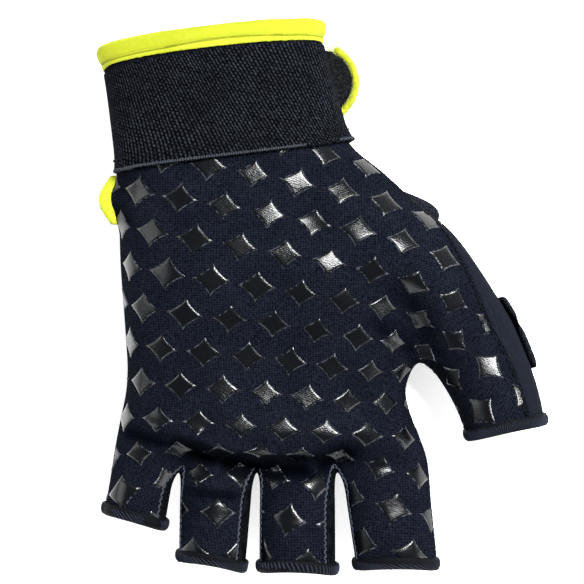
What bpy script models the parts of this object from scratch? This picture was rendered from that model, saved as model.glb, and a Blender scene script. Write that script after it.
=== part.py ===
"""A half-finger field hockey glove for the left hand, lying on its padded back with the palm up.

The glove keeps the form of a hand: one skin of rings runs from the cuff's rim down the hand,
splits at the thumb's web into palm and thumb, and splits again into four fingers. The skin is
cut into its fabric panels, each thickened inwards to a wall, and every tape, strap, hem and
pad is worked out from the same rings. X runs towards the thumb, Y towards the cuff and Z out
of the palm. While it is built, x = 0 is the middle of the palm and y = 0 the finger roots;
the last step moves the origin to the bottom centre of the whole glove.
"""

import math
from collections import namedtuple

import bpy
import numpy as np

# Driving dimensions, in metres
PALM_WIDTH = 0.104
PALM_LENGTH = 0.150
HAND_DEPTH = 0.037
FINGER_LENGTH = 0.0372
FINGER_WIDTH = 0.028
FINGER_DEPTH = 0.024
THUMB_LENGTH = 0.0355
THUMB_WIDTH = 0.0285
THUMB_DEPTH = 0.030
WALL = 0.0016
GAP = 0.0003
PAD_THICKNESS = 0.006
THUMB_PAD_THICKNESS = 0.0035
STRAP_WIDTH = 0.0345
STRAP_THICKNESS = 0.0015
STRAP_FOLD = 0.0008
TAPE_THICKNESS = 0.0008
CUFF_TAPE_WIDTH = 0.0064
CUFF_BOW = 0.0028
VENT_TAPE_WIDTH = 0.0028
VENT_TAPE_THICKNESS = 0.0024
HEM_WIDTH = 0.0032
HEM_THICKNESS = 0.0009
HEM_BOW = 0.0017
VENT_BULGE = 0.0040
VENT_GAPE = 0.0030
CROTCH_OPENING = 0.0012
TAB_LENGTH = 0.036
TAB_HEIGHT = 0.024
TAB_THICKNESS = 0.0018
TAB_REACH = 0.0078
TAB_PLACE = 0.68
TAB_TAPE_WIDTH = 0.0022
TAB_TAPE_THICKNESS = 0.0024

# How the skin is divided round the hand
FINGER_CELLS = 4
PALM_CELLS = 4 * FINGER_CELLS
HAND_CELLS = PALM_CELLS + FINGER_CELLS
SIDE_ANGLE = 20.0
SIDE_T = math.cos(math.radians(SIDE_ANGLE))
FRONT_FULLNESS = 2.3
BACK_FULLNESS = 4.0
TUBE_FULLNESS = 2.2
BACK_LEVEL = PAD_THICKNESS + GAP
UPPER_SIDE = 0.68
PARTING = 1.5
PARTING_ROWS = 4
MITER_LIMIT = 0.25

# Sections of the cuff, from its rim down to the strap's lower edge. rise counts strap widths and
# tape counts tape widths above that edge; left, web and right are shares of the palm's width,
# side and front are heights above the back as shares of the hand's depth, seam is an angle.
CuffSection = namedtuple("CuffSection", "name cells rise tape left web right side front seam")
CUFF_SECTIONS = (
    CuffSection("rim", 1, 1.0, 1.05, -0.583, 0.094, 0.198, 0.52, 1.02, 12),
    CuffSection("strap_top", 3, 1.0, 0.0, -0.548, 0.085, 0.182, 0.50, 0.99, 12),
    CuffSection("strap_middle", 3, 0.5, 0.0, -0.525, 0.124, 0.226, 0.48, 0.97, 12),
)

# Sections of the hand below the strap: points are shares of the palm's width and length.
HandSection = namedtuple("HandSection", "name cells left web right side front seam")
HAND_SECTIONS = (
    HandSection("strap_low", 2, (-0.506, 0.687), (0.170, 0.742), (0.282, 0.754), 0.47, 0.97, 12),
    HandSection("wrist", 2, (-0.505, 0.622), (0.224, 0.662), (0.381, 0.699), 0.465, 0.99, 12.4),
    HandSection("vent_end", 3, (-0.504, 0.556), (0.280, 0.583), (0.516, 0.613), 0.46, 1.02, 13),
    HandSection("thenar", 3, (-0.500, 0.462), (0.371, 0.480), (0.646, 0.540), 0.46, 1.05, 15),
    HandSection("thumb_base", 3, (-0.488, 0.349), (0.458, 0.362), (0.767, 0.424), 0.45, 1.02, 18),
    HandSection("web", 2, (-0.477, 0.237), (0.520, 0.252), (0.848, 0.332), 0.44, 0.96, 20),
)
PalmSection = namedtuple("PalmSection", "name cells left right side front")
PALM_SECTIONS = (
    PalmSection("heel", 2, (-0.480, 0.172), (0.472, 0.175), 0.43, 0.93),
    PalmSection("pads", 2, (-0.503, 0.098), (0.500, 0.100), 0.42, 0.94),
    PalmSection("knuckles", 2, (-0.520, 0.034), (0.538, 0.033), 0.41, 0.90),
    PalmSection("split", 0, (-0.530, -0.010), (0.552, -0.005), 0.40, 0.80),
)

# Soft swells and hollows of the palm side: centre and radii in shares of the palm's width and
# length, height as a share of the hand's depth.
Swell = namedtuple("Swell", "name x y across along height")
SWELLS = (
    Swell("thumb_ball", 0.42, 0.46, 0.20, 0.14, 0.16),
    Swell("little_ball", -0.30, 0.38, 0.18, 0.20, 0.07),
    Swell("hollow", 0.02, 0.25, 0.22, 0.12, -0.09),
    Swell("finger_pads", 0.00, 0.045, 0.60, 0.035, 0.07),
)

# Folds pressed into the palm side: both ends and the half width in shares, depth as a share.
Fold = namedtuple("Fold", "name start end half_width depth")
FOLDS = (
    Fold("web_fold", (0.50, 0.245), (0.30, 0.135), 0.045, 0.10),
    Fold("thumb_fold", (0.47, 0.30), (0.12, 0.60), 0.050, 0.07),
    Fold("ring_fold", (-0.33, -0.004), (0.28, 0.020), 0.030, 0.06),
)

# The fingers, from the little finger to the index: left and right ends of the root as shares of
# the knuckle line, length and width as shares, lean and hem angle and roll in degrees, and the
# tip's rise as a share of the hand's depth.
Finger = namedtuple("Finger", "name cells left right length lean width hem_angle rise roll")
FINGERS = (
    Finger("little", 4, 0.000, 0.208, 0.52, -11, 0.82, -16, 0.42, 10),
    Finger("ring", 6, 0.208, 0.459, 0.945, -3, 0.88, -10, 0.44, 12),
    Finger("middle", 6, 0.459, 0.715, 1.01, 0, 1.00, -2, 0.45, 13),
    Finger("index", 6, 0.715, 1.000, 0.99, 7.5, 1.06, 0, 0.44, 12),
)
GUSSETS = ("gusset_little_ring", "gusset_ring_middle", "gusset_middle_index")
THUMB_CELLS = 6
THUMB_ROOT_LEAN = 35
THUMB_TIP_LEAN = 11
THUMB_HEM_ANGLE = 12
THUMB_RISE = 0.66
THUMB_TAPER = 0.7
THUMB_TIP_DEPTH = 0.9
THUMB_SEAM = 60

# Swelling along a finger or the thumb: the root is pinched, the flesh above it is full.
TubeSwell = namedtuple("TubeSwell", "along front")
TUBE_SWELLS = (
    TubeSwell(0.00, 0.90),
    TubeSwell(0.17, 1.04),
    TubeSwell(0.38, 0.96),
    TubeSwell(0.60, 1.03),
    TubeSwell(1.00, 0.97),
)

# Angles of a finger's ring, and of the thumb's, measured in its cross section
FINGER_FRONT = (150, 120, 90, 60, 30)
FINGER_SIDE = (0,)
FINGER_BACK = (-30, -60, -90, -120, -150)
THUMB_FRONT = (155, 131, 107, 83, THUMB_SEAM)
THUMB_SIDE = (THUMB_SEAM / 2, 0)
THUMB_BACK = (-30, -60, -90, -120, -150)

# The padded back's outline, shares of the palm's width and length
PAD_OUTLINE = (
    (-0.30, 0.05), (-0.44, 0.10), (-0.46, 0.34), (-0.44, 0.60), (-0.34, 0.66), (0.00, 0.67),
    (0.36, 0.67), (0.47, 0.65), (0.595, 0.607), (0.585, 0.55), (0.50, 0.45), (0.43, 0.30),
    (0.42, 0.12), (0.32, 0.05),
)
PAD_EDGE = 0.0014
PAD_STEPS = 3
THUMB_PAD_CELLS = 4
THUMB_PAD_ROWS = 3
VENT_STEPS = 2
TAB_STEPS = 14
TAB_TRIM_STEPS = 2

# Colours in linear light, with roughness
NAVY = (0.012, 0.014, 0.022, 1.0)
BLACK = (0.006, 0.006, 0.008, 1.0)
CHARCOAL = (0.016, 0.017, 0.021, 1.0)
NEON = (0.75, 0.92, 0.03, 1.0)


def vec(*values):
    return np.array(values, dtype=float)


def unit(vector):
    return vector / np.linalg.norm(vector)


def lerp(a, b, share):
    return a + (b - a) * share


def smooth(share):
    """Ease from 0 to 1 over the range 0 to 1."""
    share = min(max(share, 0.0), 1.0)
    return share * share * (3.0 - 2.0 * share)


def crown(t, fullness):
    """Height of a full arch over -1..1, which is 1 in the middle and 0 at both ends."""
    return (1.0 - min(abs(t), 1.0) ** fullness) ** (1.0 / fullness)


def through(rows, share_of_rows):
    """Smooth curve through rows of numbers, read at a place counted in rows."""
    index = min(int(share_of_rows), len(rows) - 2)
    u = share_of_rows - index
    before = rows[max(index - 1, 0)]
    start = rows[index]
    end = rows[index + 1]
    after = rows[min(index + 2, len(rows) - 1)]
    return 0.5 * (
        2 * start + (end - before) * u + (2 * before - 5 * start + 4 * end - after) * u * u
        + (3 * start - before - 3 * end + after) * u ** 3
    )


def in_palm(point):
    """A point given in shares of the palm, in metres."""
    return vec(point[0] * PALM_WIDTH, point[1] * PALM_LENGTH)


# Sections to rings


def hand_rows():
    """Rows of numbers down the hand: left, web and right points, side, front, seam and bow."""
    low = HAND_SECTIONS[0]
    anchors = [in_palm(low.left), in_palm(low.web), in_palm(low.right)]
    keys = []
    for section in CUFF_SECTIONS:
        lift = vec(0.0, section.rise * STRAP_WIDTH + section.tape * (CUFF_TAPE_WIDTH + GAP))
        row = []
        for anchor, x in zip(anchors, (section.left, section.web, section.right)):
            row += [x * PALM_WIDTH, anchor[1] + lift[1]]
        bow = CUFF_BOW * section.rise
        keys.append((section, row + [section.side, section.front, section.seam, bow]))
    for section in HAND_SECTIONS:
        row = [*in_palm(section.left), *in_palm(section.web), *in_palm(section.right)]
        keys.append((section, row + [section.side, section.front, section.seam, 0.0]))
    table = [np.array(row) for _, row in keys]
    rows = []
    names = {}
    for index, (section, _) in enumerate(keys[:-1]):
        names[section.name] = len(rows)
        for step in range(section.cells):
            rows.append(through(table, index + step / section.cells))
    names[keys[-1][0].name] = len(rows)
    rows.append(table[-1])
    return rows, names


def palm_rows(web_row):
    """Rows down the palm below the web: left and right points, side and front."""
    first = np.array([*web_row[0:4], web_row[6], web_row[7]])
    table = [first]
    for section in PALM_SECTIONS:
        numbers = [*in_palm(section.left), *in_palm(section.right), section.side, section.front]
        table.append(np.array(numbers))
    cells = [HAND_SECTIONS[-1].cells] + [section.cells for section in PALM_SECTIONS[:-1]]
    rows = []
    for index, count in enumerate(cells):
        for step in range(1, count + 1):
            rows.append(through(table, index + step / count))
    return rows


def finger_places():
    """Where the palm's columns stand at the finger roots, as places from 0 to 1."""
    edge = (1.0 - SIDE_T) / 2.0
    inner = [0.5 + math.cos(math.radians(a)) / (2 * math.cos(math.radians(30))) for a in FINGER_FRONT]
    places = []
    for finger in FINGERS:
        start = lerp(edge, 1.0 - edge, finger.left)
        end = lerp(edge, 1.0 - edge, finger.right)
        places += [lerp(start, end, share) for share in inner[:-1]]
    return places + [1.0 - edge]


def relief(x, y, height):
    """How far the palm side stands up or dips at a point, from the swells and the folds."""
    total = 0.0
    for swell in SWELLS:
        dx = (x / PALM_WIDTH - swell.x) / swell.across
        dy = (y / PALM_LENGTH - swell.y) / swell.along
        total += swell.height * math.exp(-dx * dx - dy * dy)
    for fold in FOLDS:
        start = in_palm(fold.start)
        along = in_palm(fold.end) - start
        share = np.dot(vec(x, y) - start, along) / np.dot(along, along)
        near = start + along * min(max(share, 0.0), 1.0)
        distance = np.linalg.norm(vec(x, y) - near) / (fold.half_width * PALM_WIDTH)
        total -= fold.depth * math.exp(-distance * distance)
    return total * HAND_DEPTH * height


class Skin:
    """The glove's outer skin: points by name, and cells that each belong to a panel."""

    def __init__(self):
        self.points = {}
        self.cells = []
        self.rows, self.names = hand_rows()
        self.web = self.names["web"]
        self.palm = palm_rows(self.rows[-1])
        self.split = self.web + len(self.palm)
        self.places = finger_places()
        self.rings = {}
        self.build_hand()
        self.build_palm()
        self.build_thumb()
        for number, finger in enumerate(FINGERS):
            self.build_finger(number, finger)
        self.find_normals()

    def add_cells(self, upper, lower, panels, tag):
        """Join two rings; panels names the panel of each cell, in the ring's order."""
        count = len(upper)
        for k in range(count):
            following = (k + 1) % count
            corners = (upper[k], lower[k], lower[following], upper[following])
            self.cells.append((corners, panels[k], tag, k))

    def build_hand(self):
        """Rings from the rim to the web, thumb included."""
        start = self.names["vent_end"]
        for number, row in enumerate(self.rows):
            left, web, right = row[0:2], row[2:4], row[4:6]
            side = BACK_LEVEL + row[6] * HAND_DEPTH
            front = BACK_LEVEL + row[7] * HAND_DEPTH
            seam = math.radians(row[8])
            apart = smooth((number - start) / (self.web - start)) ** PARTING
            fan = smooth((number - start) / (self.split - start))
            palm_run = np.linalg.norm(web - left)
            web_place = palm_run / (palm_run + np.linalg.norm(right - web))
            web_angle = math.acos(2.0 * web_place - 1.0)

            def place_point(place, on_back):
                if place <= web_place:
                    share = place / web_place
                    spot = lerp(left, web, share)
                    half = front - side
                else:
                    share = (place - web_place) / (1.0 - web_place)
                    spot = lerp(web, right, share)
                    half = lerp(front - side, THUMB_DEPTH / 2, apart)
                local = min(max(2.0 * share - 1.0, -SIDE_T), 1.0)
                if place <= web_place:
                    local = max(min(2.0 * share - 1.0, SIDE_T), -1.0)
                whole = 2.0 * place - 1.0
                if on_back:
                    drop = side - BACK_LEVEL
                    arch = lerp(crown(whole, BACK_FULLNESS), crown(local, BACK_FULLNESS), apart)
                    return vec(*spot, side - drop * arch)
                arch = lerp(crown(whole, FRONT_FULLNESS), crown(local, FRONT_FULLNESS), apart)
                height = side + half * arch + relief(*spot, arch)
                return vec(spot[0], spot[1] + row[9] * arch, height)

            edge_angle = math.radians(180.0 - SIDE_ANGLE)
            front_places = []
            for i in range(PALM_CELLS + 1):
                angle = lerp(edge_angle, web_angle, i / PALM_CELLS)
                even = (1.0 + math.cos(angle)) / 2.0
                fanned = self.places[i] / self.places[-1] * web_place
                front_places.append(lerp(even, fanned, fan))
            back_places = list(front_places)
            for i in range(1, FINGER_CELLS + 1):
                share = i / FINGER_CELLS
                for end, places in ((seam, front_places), (math.radians(SIDE_ANGLE), back_places)):
                    whole = (1.0 + math.cos(lerp(web_angle, end, share))) / 2.0
                    thumb_end = math.radians(THUMB_SEAM) if places is front_places else end
                    turned = (1.0 + math.cos(lerp(math.pi, thumb_end, share))) / 2.0
                    local = lerp(web_place, 1.0, turned)
                    places.append(lerp(whole, local, apart))
            ring = []
            for i, place in enumerate(front_places):
                self.points["f", i, number] = place_point(place, False)
                ring.append(("f", i, number))
            upper_side = lerp(front_places[-1], 1.0, UPPER_SIDE)
            self.points["s1", number] = place_point(upper_side, False)
            self.points["s2", number] = vec(*right, side)
            ring += [("s1", number), ("s2", number)]
            for i in range(HAND_CELLS, -1, -1):
                self.points["b", i, number] = place_point(back_places[i], True)
                ring.append(("b", i, number))
            self.points["l", number] = vec(*left, side)
            ring.append(("l", number))
            self.rings["hand", number] = ring
        strip_start = self.names["thenar"] - 1
        for number in range(self.web):
            strip = "thumb_side_panel" if number >= strip_start else "back_panel"
            panels = ["palm_panel"] * HAND_CELLS + [strip] * 3
            panels += ["back_panel"] * (HAND_CELLS + 1) + ["palm_panel"]
            self.add_cells(self.rings["hand", number], self.rings["hand", number + 1], panels, number)
        web = self.rows[-1][2:4]
        side = BACK_LEVEL + self.rows[-1][6] * HAND_DEPTH
        self.points["r", self.web] = vec(web[0], web[1] - WALL, side)

    def build_palm(self):
        """Rings from the web to the finger roots."""
        edge = (1.0 - SIDE_T) / 2.0
        angle = math.radians(SIDE_ANGLE)
        start = self.names["vent_end"]
        for step, row in enumerate(self.palm):
            number = self.web + step + 1
            left, right = row[0:2], row[2:4]
            side = BACK_LEVEL + row[4] * HAND_DEPTH
            front = BACK_LEVEL + row[5] * HAND_DEPTH
            fan = smooth((number - start) / (self.split - start))
            apart = smooth(1.0 - (self.split - number) / PARTING_ROWS) ** PARTING
            for i in range(PALM_CELLS + 1):
                turn = lerp(math.pi - angle, angle, i / PALM_CELLS)
                place = lerp((1.0 + math.cos(turn)) / 2.0, self.places[i], fan)
                spot = lerp(left, right, place)
                whole = 2.0 * place - 1.0
                local = self.finger_arch(i)
                tall = lerp((front - side) * crown(whole, FRONT_FULLNESS), local, apart)
                deep = lerp((side - BACK_LEVEL) * crown(whole, BACK_FULLNESS), local, apart)
                dip = relief(*spot, crown(whole, FRONT_FULLNESS))
                self.points["f", i, number] = vec(*spot, side + tall + dip)
                self.points["b", i, number] = vec(*spot, side - deep)
            self.points["r", number] = vec(*right, side)
            self.points["l", number] = vec(*left, side)
        for number in range(self.web, self.split + 1):
            ring = [("f", i, number) for i in range(PALM_CELLS + 1)] + [("r", number)]
            ring += [("b", i, number) for i in range(PALM_CELLS, -1, -1)] + [("l", number)]
            self.rings["palm", number] = ring
        panels = ["palm_panel"] * (PALM_CELLS + 1) + ["back_panel"] * (PALM_CELLS + 2)
        panels += ["palm_panel"]
        for number in range(self.web, self.split):
            self.add_cells(self.rings["palm", number], self.rings["palm", number + 1], panels, number)

    def finger_arch(self, column):
        """Half depth of the finger that a palm column leads to, at its root."""
        turn = math.radians(FINGER_FRONT[column % FINGER_CELLS])
        return FINGER_DEPTH / 2 * TUBE_SWELLS[0].front * abs(math.sin(turn)) ** (2 / TUBE_FULLNESS)

    def build_tube(self, name, root, cells, edges, angles, heights, depths, roll, bows):
        """Rings of a finger or the thumb after its root ring; edges gives each ring's two sides,
        and bows how far the hem arches back in its middle.
        """
        front_angles, side_angles, back_angles = angles
        order = [*front_angles, *side_angles, *back_angles, 180]
        self.rings[name, 0] = root
        swells = [vec(swell.along, swell.front) for swell in TUBE_SWELLS]
        for j in range(1, cells + 1):
            share = j / cells
            inner, outer = edges(share)
            centre = (inner + outer) / 2
            across = (outer - inner) / 2
            height = lerp(heights[0], heights[1], smooth(share))
            depth = lerp(depths[0], depths[1], share) / 2
            swell = np.interp(share, [s[0] for s in swells], [s[1] for s in swells])
            turn = roll * min(1.0, share * 3.0)
            ring = []
            for k, degrees in enumerate(order):
                angle = math.radians(degrees + turn)
                c, s = math.cos(angle), math.sin(angle)
                x = math.copysign(abs(c) ** (2 / TUBE_FULLNESS), c)
                z = math.copysign(abs(s) ** (2 / TUBE_FULLNESS), s)
                lift = depth * z * (swell if s > 0 else 1.0)
                bow = vec(0.0, bows * share * share * (1.0 - x * x))
                self.points[name, k, j] = vec(*(centre + across * x + bow), height + lift)
                ring.append((name, k, j))
            self.rings[name, j] = ring

    def build_finger(self, number, finger):
        """One finger, from its root ring on the knuckle line to its hem."""
        first = number * FINGER_CELLS
        last = first + FINGER_CELLS
        row = self.palm[-1]
        side = BACK_LEVEL + row[4] * HAND_DEPTH
        left = lerp(row[0:2], row[2:4], finger.left)
        right = lerp(row[0:2], row[2:4], finger.right)
        if number > 0:
            self.points["c", number] = vec(left[0], left[1] - WALL, side)
        left_key = ("c", number) if number > 0 else ("l", self.split)
        right_key = ("c", number + 1) if last < PALM_CELLS else ("r", self.split)
        if last < PALM_CELLS:
            self.points[right_key] = vec(right[0], right[1] - WALL, side)
        root = [("f", i, self.split) for i in range(first, last + 1)] + [right_key]
        root += [("b", i, self.split) for i in range(last, first - 1, -1)] + [left_key]
        lean = math.radians(finger.lean)
        run = vec(math.sin(lean), -math.cos(lean)) * finger.length * FINGER_LENGTH
        hem = math.radians(finger.hem_angle)
        half = vec(math.cos(hem), math.sin(hem)) * finger.width * FINGER_WIDTH / 2
        start_left = left + vec(CROTCH_OPENING / 2 if number > 0 else 0.0, 0.0)
        start_right = right - vec(CROTCH_OPENING / 2 if last < PALM_CELLS else 0.0, 0.0)
        tip = (left + right) / 2 + run

        def edges(share):
            return lerp(start_left, tip - half, share), lerp(start_right, tip + half, share)

        heights = (side, BACK_LEVEL + finger.rise * HAND_DEPTH)
        depths = (FINGER_DEPTH, FINGER_DEPTH * math.sqrt(finger.width))
        angles = (FINGER_FRONT, FINGER_SIDE, FINGER_BACK)
        bow = HEM_BOW * finger.length
        self.build_tube(
            finger.name, root, finger.cells, edges, angles, heights, depths, finger.roll, bow
        )
        left_panels = ["back_panel", "palm_panel"]
        right_panels = ["palm_panel", "back_panel"]
        if number > 0:
            left_panels = [GUSSETS[number - 1]] * 2
        if last < PALM_CELLS:
            right_panels = [GUSSETS[number]] * 2
        panels = ["palm_panel"] * FINGER_CELLS + right_panels
        panels += ["back_panel"] * FINGER_CELLS + left_panels
        for j in range(finger.cells):
            self.add_cells(self.rings[finger.name, j], self.rings[finger.name, j + 1], panels, None)

    def build_thumb(self):
        """The thumb, from the web's outer half to its hem."""
        row = self.rows[-1]
        web, right = row[2:4], row[4:6]
        side = BACK_LEVEL + row[6] * HAND_DEPTH
        root = [("f", i, self.web) for i in range(PALM_CELLS, HAND_CELLS + 1)]
        root += [("s1", self.web), ("s2", self.web)]
        root += [("b", i, self.web) for i in range(HAND_CELLS, PALM_CELLS - 1, -1)]
        root += [("r", self.web)]
        start = (web + right) / 2
        leans = [math.radians(THUMB_ROOT_LEAN), math.radians(THUMB_TIP_LEAN)]
        runs = [vec(math.sin(lean), -math.cos(lean)) * THUMB_LENGTH / 2 for lean in leans]
        half_root = (right - web) / 2
        hem = math.radians(THUMB_HEM_ANGLE)
        half_tip = vec(math.cos(hem), math.sin(hem)) * THUMB_WIDTH / 2

        def edges(share):
            bend = runs[0] * (2 * share - share * share) + runs[1] * share * share
            half = lerp(half_root, half_tip, share ** THUMB_TAPER)
            return start + bend - half, start + bend + half

        heights = (side, BACK_LEVEL + THUMB_RISE * HAND_DEPTH)
        depths = (THUMB_DEPTH, THUMB_DEPTH * THUMB_TIP_DEPTH)
        angles = (THUMB_FRONT, THUMB_SIDE, THUMB_BACK)
        self.build_tube(
            "thumb", root, THUMB_CELLS, edges, angles, heights, depths, 0, HEM_BOW / 2
        )
        panels = ["palm_panel"] * FINGER_CELLS + ["thumb_side_panel"] * 3
        panels += ["back_panel"] * (FINGER_CELLS + 1) + ["palm_panel"]
        for j in range(THUMB_CELLS):
            self.add_cells(self.rings["thumb", j], self.rings["thumb", j + 1], panels, ("thumb", j))

    def find_normals(self):
        """An outward direction at every point, averaged over its cells."""
        self.normals = {key: vec(0, 0, 0) for key in self.points}
        for corners, _, _, _ in self.cells:
            a, b, c, d = (self.points[key] for key in corners)
            across = np.cross(c - a, d - b)
            for key in corners:
                self.normals[key] = self.normals[key] + across
        self.normals = {key: unit(total) for key, total in self.normals.items()}


# Meshes and materials


def make_material(name, colour, roughness):
    material = bpy.data.materials.new(name)
    material.use_nodes = True
    shader = material.node_tree.nodes["Principled BSDF"]
    shader.inputs["Base Color"].default_value = colour
    shader.inputs["Roughness"].default_value = roughness
    shader.inputs["Metallic"].default_value = 0.0
    return material


def make_object(name, points, faces, colour, roughness):
    mesh = bpy.data.meshes.new(name)
    mesh.from_pydata([tuple(point) for point in points], [], faces)
    mesh.shade_smooth()
    mesh.set_sharp_from_angle(angle=math.radians(50))
    mesh.materials.append(make_material(name, colour, roughness))
    bpy.context.scene.collection.objects.link(bpy.data.objects.new(name, mesh))


def border_steps(cells, points, normals, distance):
    """For each point on a patch's border, the step that draws the border in by a distance."""
    edges = {}
    for corners in cells:
        for a, b in zip(corners, corners[1:] + corners[:1]):
            edges[a, b] = True
    sides = {}
    for a, b in edges:
        if (b, a) in edges:
            continue
        run = points[b] - points[a]
        for key in (a, b):
            sides.setdefault(key, []).append(unit(np.cross(normals[key], run)))
    steps = {}
    for key, inward in sides.items():
        total = sum(inward)
        if len(inward) == 2:
            total = total / max(1.0 + np.dot(inward[0], inward[1]), MITER_LIMIT)
        steps[key] = total * distance
    return steps


def thick_patch(name, cells, points, normals, outer, inner, inset, colour, roughness):
    """A closed sheet over cells of the skin; outer and inner give the offsets at a point."""
    steps = border_steps(cells, points, normals, inset) if inset else {}
    keys = sorted({key for corners in cells for key in corners}, key=str)
    index = {key: number for number, key in enumerate(keys)}
    count = len(keys)
    spots = []
    for offset in (outer, inner):
        for key in keys:
            shift = steps.get(key, 0.0)
            spots.append(points[key] + shift + normals[key] * offset(key))
    faces = []
    rim = {}
    for corners in cells:
        a, b, c, d = (index[key] for key in corners)
        faces += [(a, b, c), (a, c, d)]
        faces += [(a + count, c + count, b + count), (a + count, d + count, c + count)]
        for start, end in ((a, b), (b, c), (c, d), (d, a)):
            rim[start, end] = True
    for start, end in rim:
        if (end, start) in rim:
            continue
        if start < end:
            faces += [(end, start, start + count), (end, start + count, end + count)]
        else:
            faces += [(end, start, end + count), (start, start + count, end + count)]
    make_object(name, spots, faces, colour, roughness)


def tape_profile(width, thickness, wall):
    """A folded tape's cross section as (out of the edge, out of the surface), wall in its fold."""
    inside = wall / 2 + GAP
    outside = inside + thickness
    nose = GAP + thickness
    return (
        (-width, inside), (-width, outside), (GAP * 0.3, outside), (nose, outside * 0.5),
        (nose, -outside * 0.5), (GAP * 0.3, -outside), (-width, -outside), (-width, -inside),
        (GAP, -inside), (GAP, inside),
    )


def edge_profile(width, thickness):
    """A narrow rounded edging that stands just outside an edge, in the same two directions."""
    shares = ((0.0, 0.6), (0.3, 1.0), (0.7, 1.0), (1.0, 0.5))
    upper = [(GAP + width * out, thickness / 2 * up) for out, up in shares]
    return tuple(upper + [(out, -up) for out, up in reversed(upper)])


def make_tape(name, path, closed, profile, colour, roughness):
    """A tape along an edge; path holds (middle of the edge, out of the edge, normal)."""
    size = len(profile)
    first, out, normal = path[0]
    if np.dot(np.cross(path[1][0] - first, out), normal) > 0:
        path = path[::-1]
    spots = []
    for middle, out, normal in path:
        spots += [middle + out * a + normal * b for a, b in profile]
    faces = []
    count = len(path)
    for k in range(count if closed else count - 1):
        here, there = k * size, (k + 1) % count * size
        for p in range(size):
            q = (p + 1) % size
            faces += [(here + p, here + q, there + q), (here + p, there + q, there + p)]
    if not closed:
        last = (count - 1) * size
        faces.append(tuple(range(size - 1, -1, -1)))
        faces.append(tuple(range(last, last + size)))
    make_object(name, spots, faces, colour, roughness)


def edge_path(skin, ring, inward_ring):
    """The path of a tape round an end ring: the wall's middle, out of the edge, and normal."""
    path = []
    for key, inner_key in zip(ring, inward_ring):
        normal = skin.normals[key]
        out = skin.points[key] - skin.points[inner_key]
        out = unit(out - normal * np.dot(out, normal))
        path.append((skin.points[key] - normal * WALL / 2, out, normal))
    return path


# The pieces


def make_panels(skin):
    """The fabric panels, cut from the skin with a small gap between them."""
    points, normals = open_vent(skin)
    finishes = {"palm_panel": (NAVY, 0.8), "thumb_side_panel": (CHARCOAL, 0.75)}
    panels = {}
    for corners, panel, _, _ in skin.cells:
        panels.setdefault(panel, []).append(corners)
    for panel, cells in panels.items():
        colour, roughness = finishes.get(panel, (BLACK, 0.7))
        spots, turned = dict(skin.points), dict(skin.normals)
        spots.update(points.get(panel, {}))
        turned.update(normals.get(panel, {}))
        thick_patch(panel, cells, spots, turned, lambda key: 0.0, lambda key: -WALL, GAP / 2,
                    colour, roughness)


def vent_numbers(skin):
    return range(skin.names["strap_low"] + 1, skin.names["vent_end"])


def vent_share(skin, number):
    """How open the vent is at a row: 0 at both ends, 1 in the middle."""
    first = skin.names["strap_low"]
    return math.sin(math.pi * (number - first) / (skin.names["vent_end"] - first))


def open_vent(skin):
    """The palm's and the back's edges along the vent, which part and bulge outwards."""
    points = {"palm_panel": {}, "back_panel": {}}
    normals = {"palm_panel": {}, "back_panel": {}}
    for number in vent_numbers(skin):
        share = vent_share(skin, number)
        key = ("l", number)
        base = skin.points[key]
        lip = base + vec(-VENT_BULGE, 0.0, VENT_GAPE / 2) * share
        points["palm_panel"][key] = lip
        points["back_panel"][key] = base - vec(0.0, 0.0, VENT_GAPE / 2) * share
        out = unit(lip - skin.points["f", 0, number])
        normals["palm_panel"][key] = unit(np.cross(vec(0.0, 1.0, 0.0), out))
    return points, normals


def make_vent_binding(skin):
    """The neon edging that arches out along the palm's edge of the vent."""
    points, _ = open_vent(skin)
    numbers = range(skin.names["strap_low"], skin.names["vent_end"] + 1)
    lips = [points["palm_panel"].get(("l", number), skin.points["l", number]) for number in numbers]
    steps = VENT_STEPS * (len(lips) - 1)
    path = []
    for step in range(1, steps):
        place = step / VENT_STEPS
        path.append((through(lips, place), vec(-1.0, 0.0, 0.0), vec(0.0, 0.0, 1.0)))
    profile = edge_profile(VENT_TAPE_WIDTH, VENT_TAPE_THICKNESS)
    make_tape("vent_binding", path, False, profile, NEON, 0.6)


def make_cuff_binding(skin):
    path = edge_path(skin, skin.rings["hand", 0], skin.rings["hand", 1])
    profile = tape_profile(CUFF_TAPE_WIDTH, TAPE_THICKNESS, WALL)
    make_tape("cuff_binding", path, True, profile, NEON, 0.6)


def make_hems(skin):
    ends = {finger.name: finger.cells for finger in FINGERS}
    ends["thumb"] = THUMB_CELLS
    for name, cells in ends.items():
        path = edge_path(skin, skin.rings[name, cells], skin.rings[name, cells - 1])
        profile = tape_profile(HEM_WIDTH, HEM_THICKNESS, WALL)
        make_tape("hem_" + name, path, True, profile, CHARCOAL, 0.8)


def make_strap(skin):
    """The elastic band round the wrist; its lower edge is folded and a little thicker."""
    top, low = skin.names["strap_top"], skin.names["strap_low"]
    cells = [corners for corners, _, tag, _ in skin.cells if tag in range(top, low)]
    fold = {key for key in skin.rings["hand", low]}
    outer = GAP + STRAP_THICKNESS

    def outside(key):
        return outer + (STRAP_FOLD if key in fold else 0.0)

    thick_patch("wrist_strap", cells, skin.points, skin.normals, outside, lambda key: GAP, 0.0,
                BLACK, 0.85)


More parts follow.
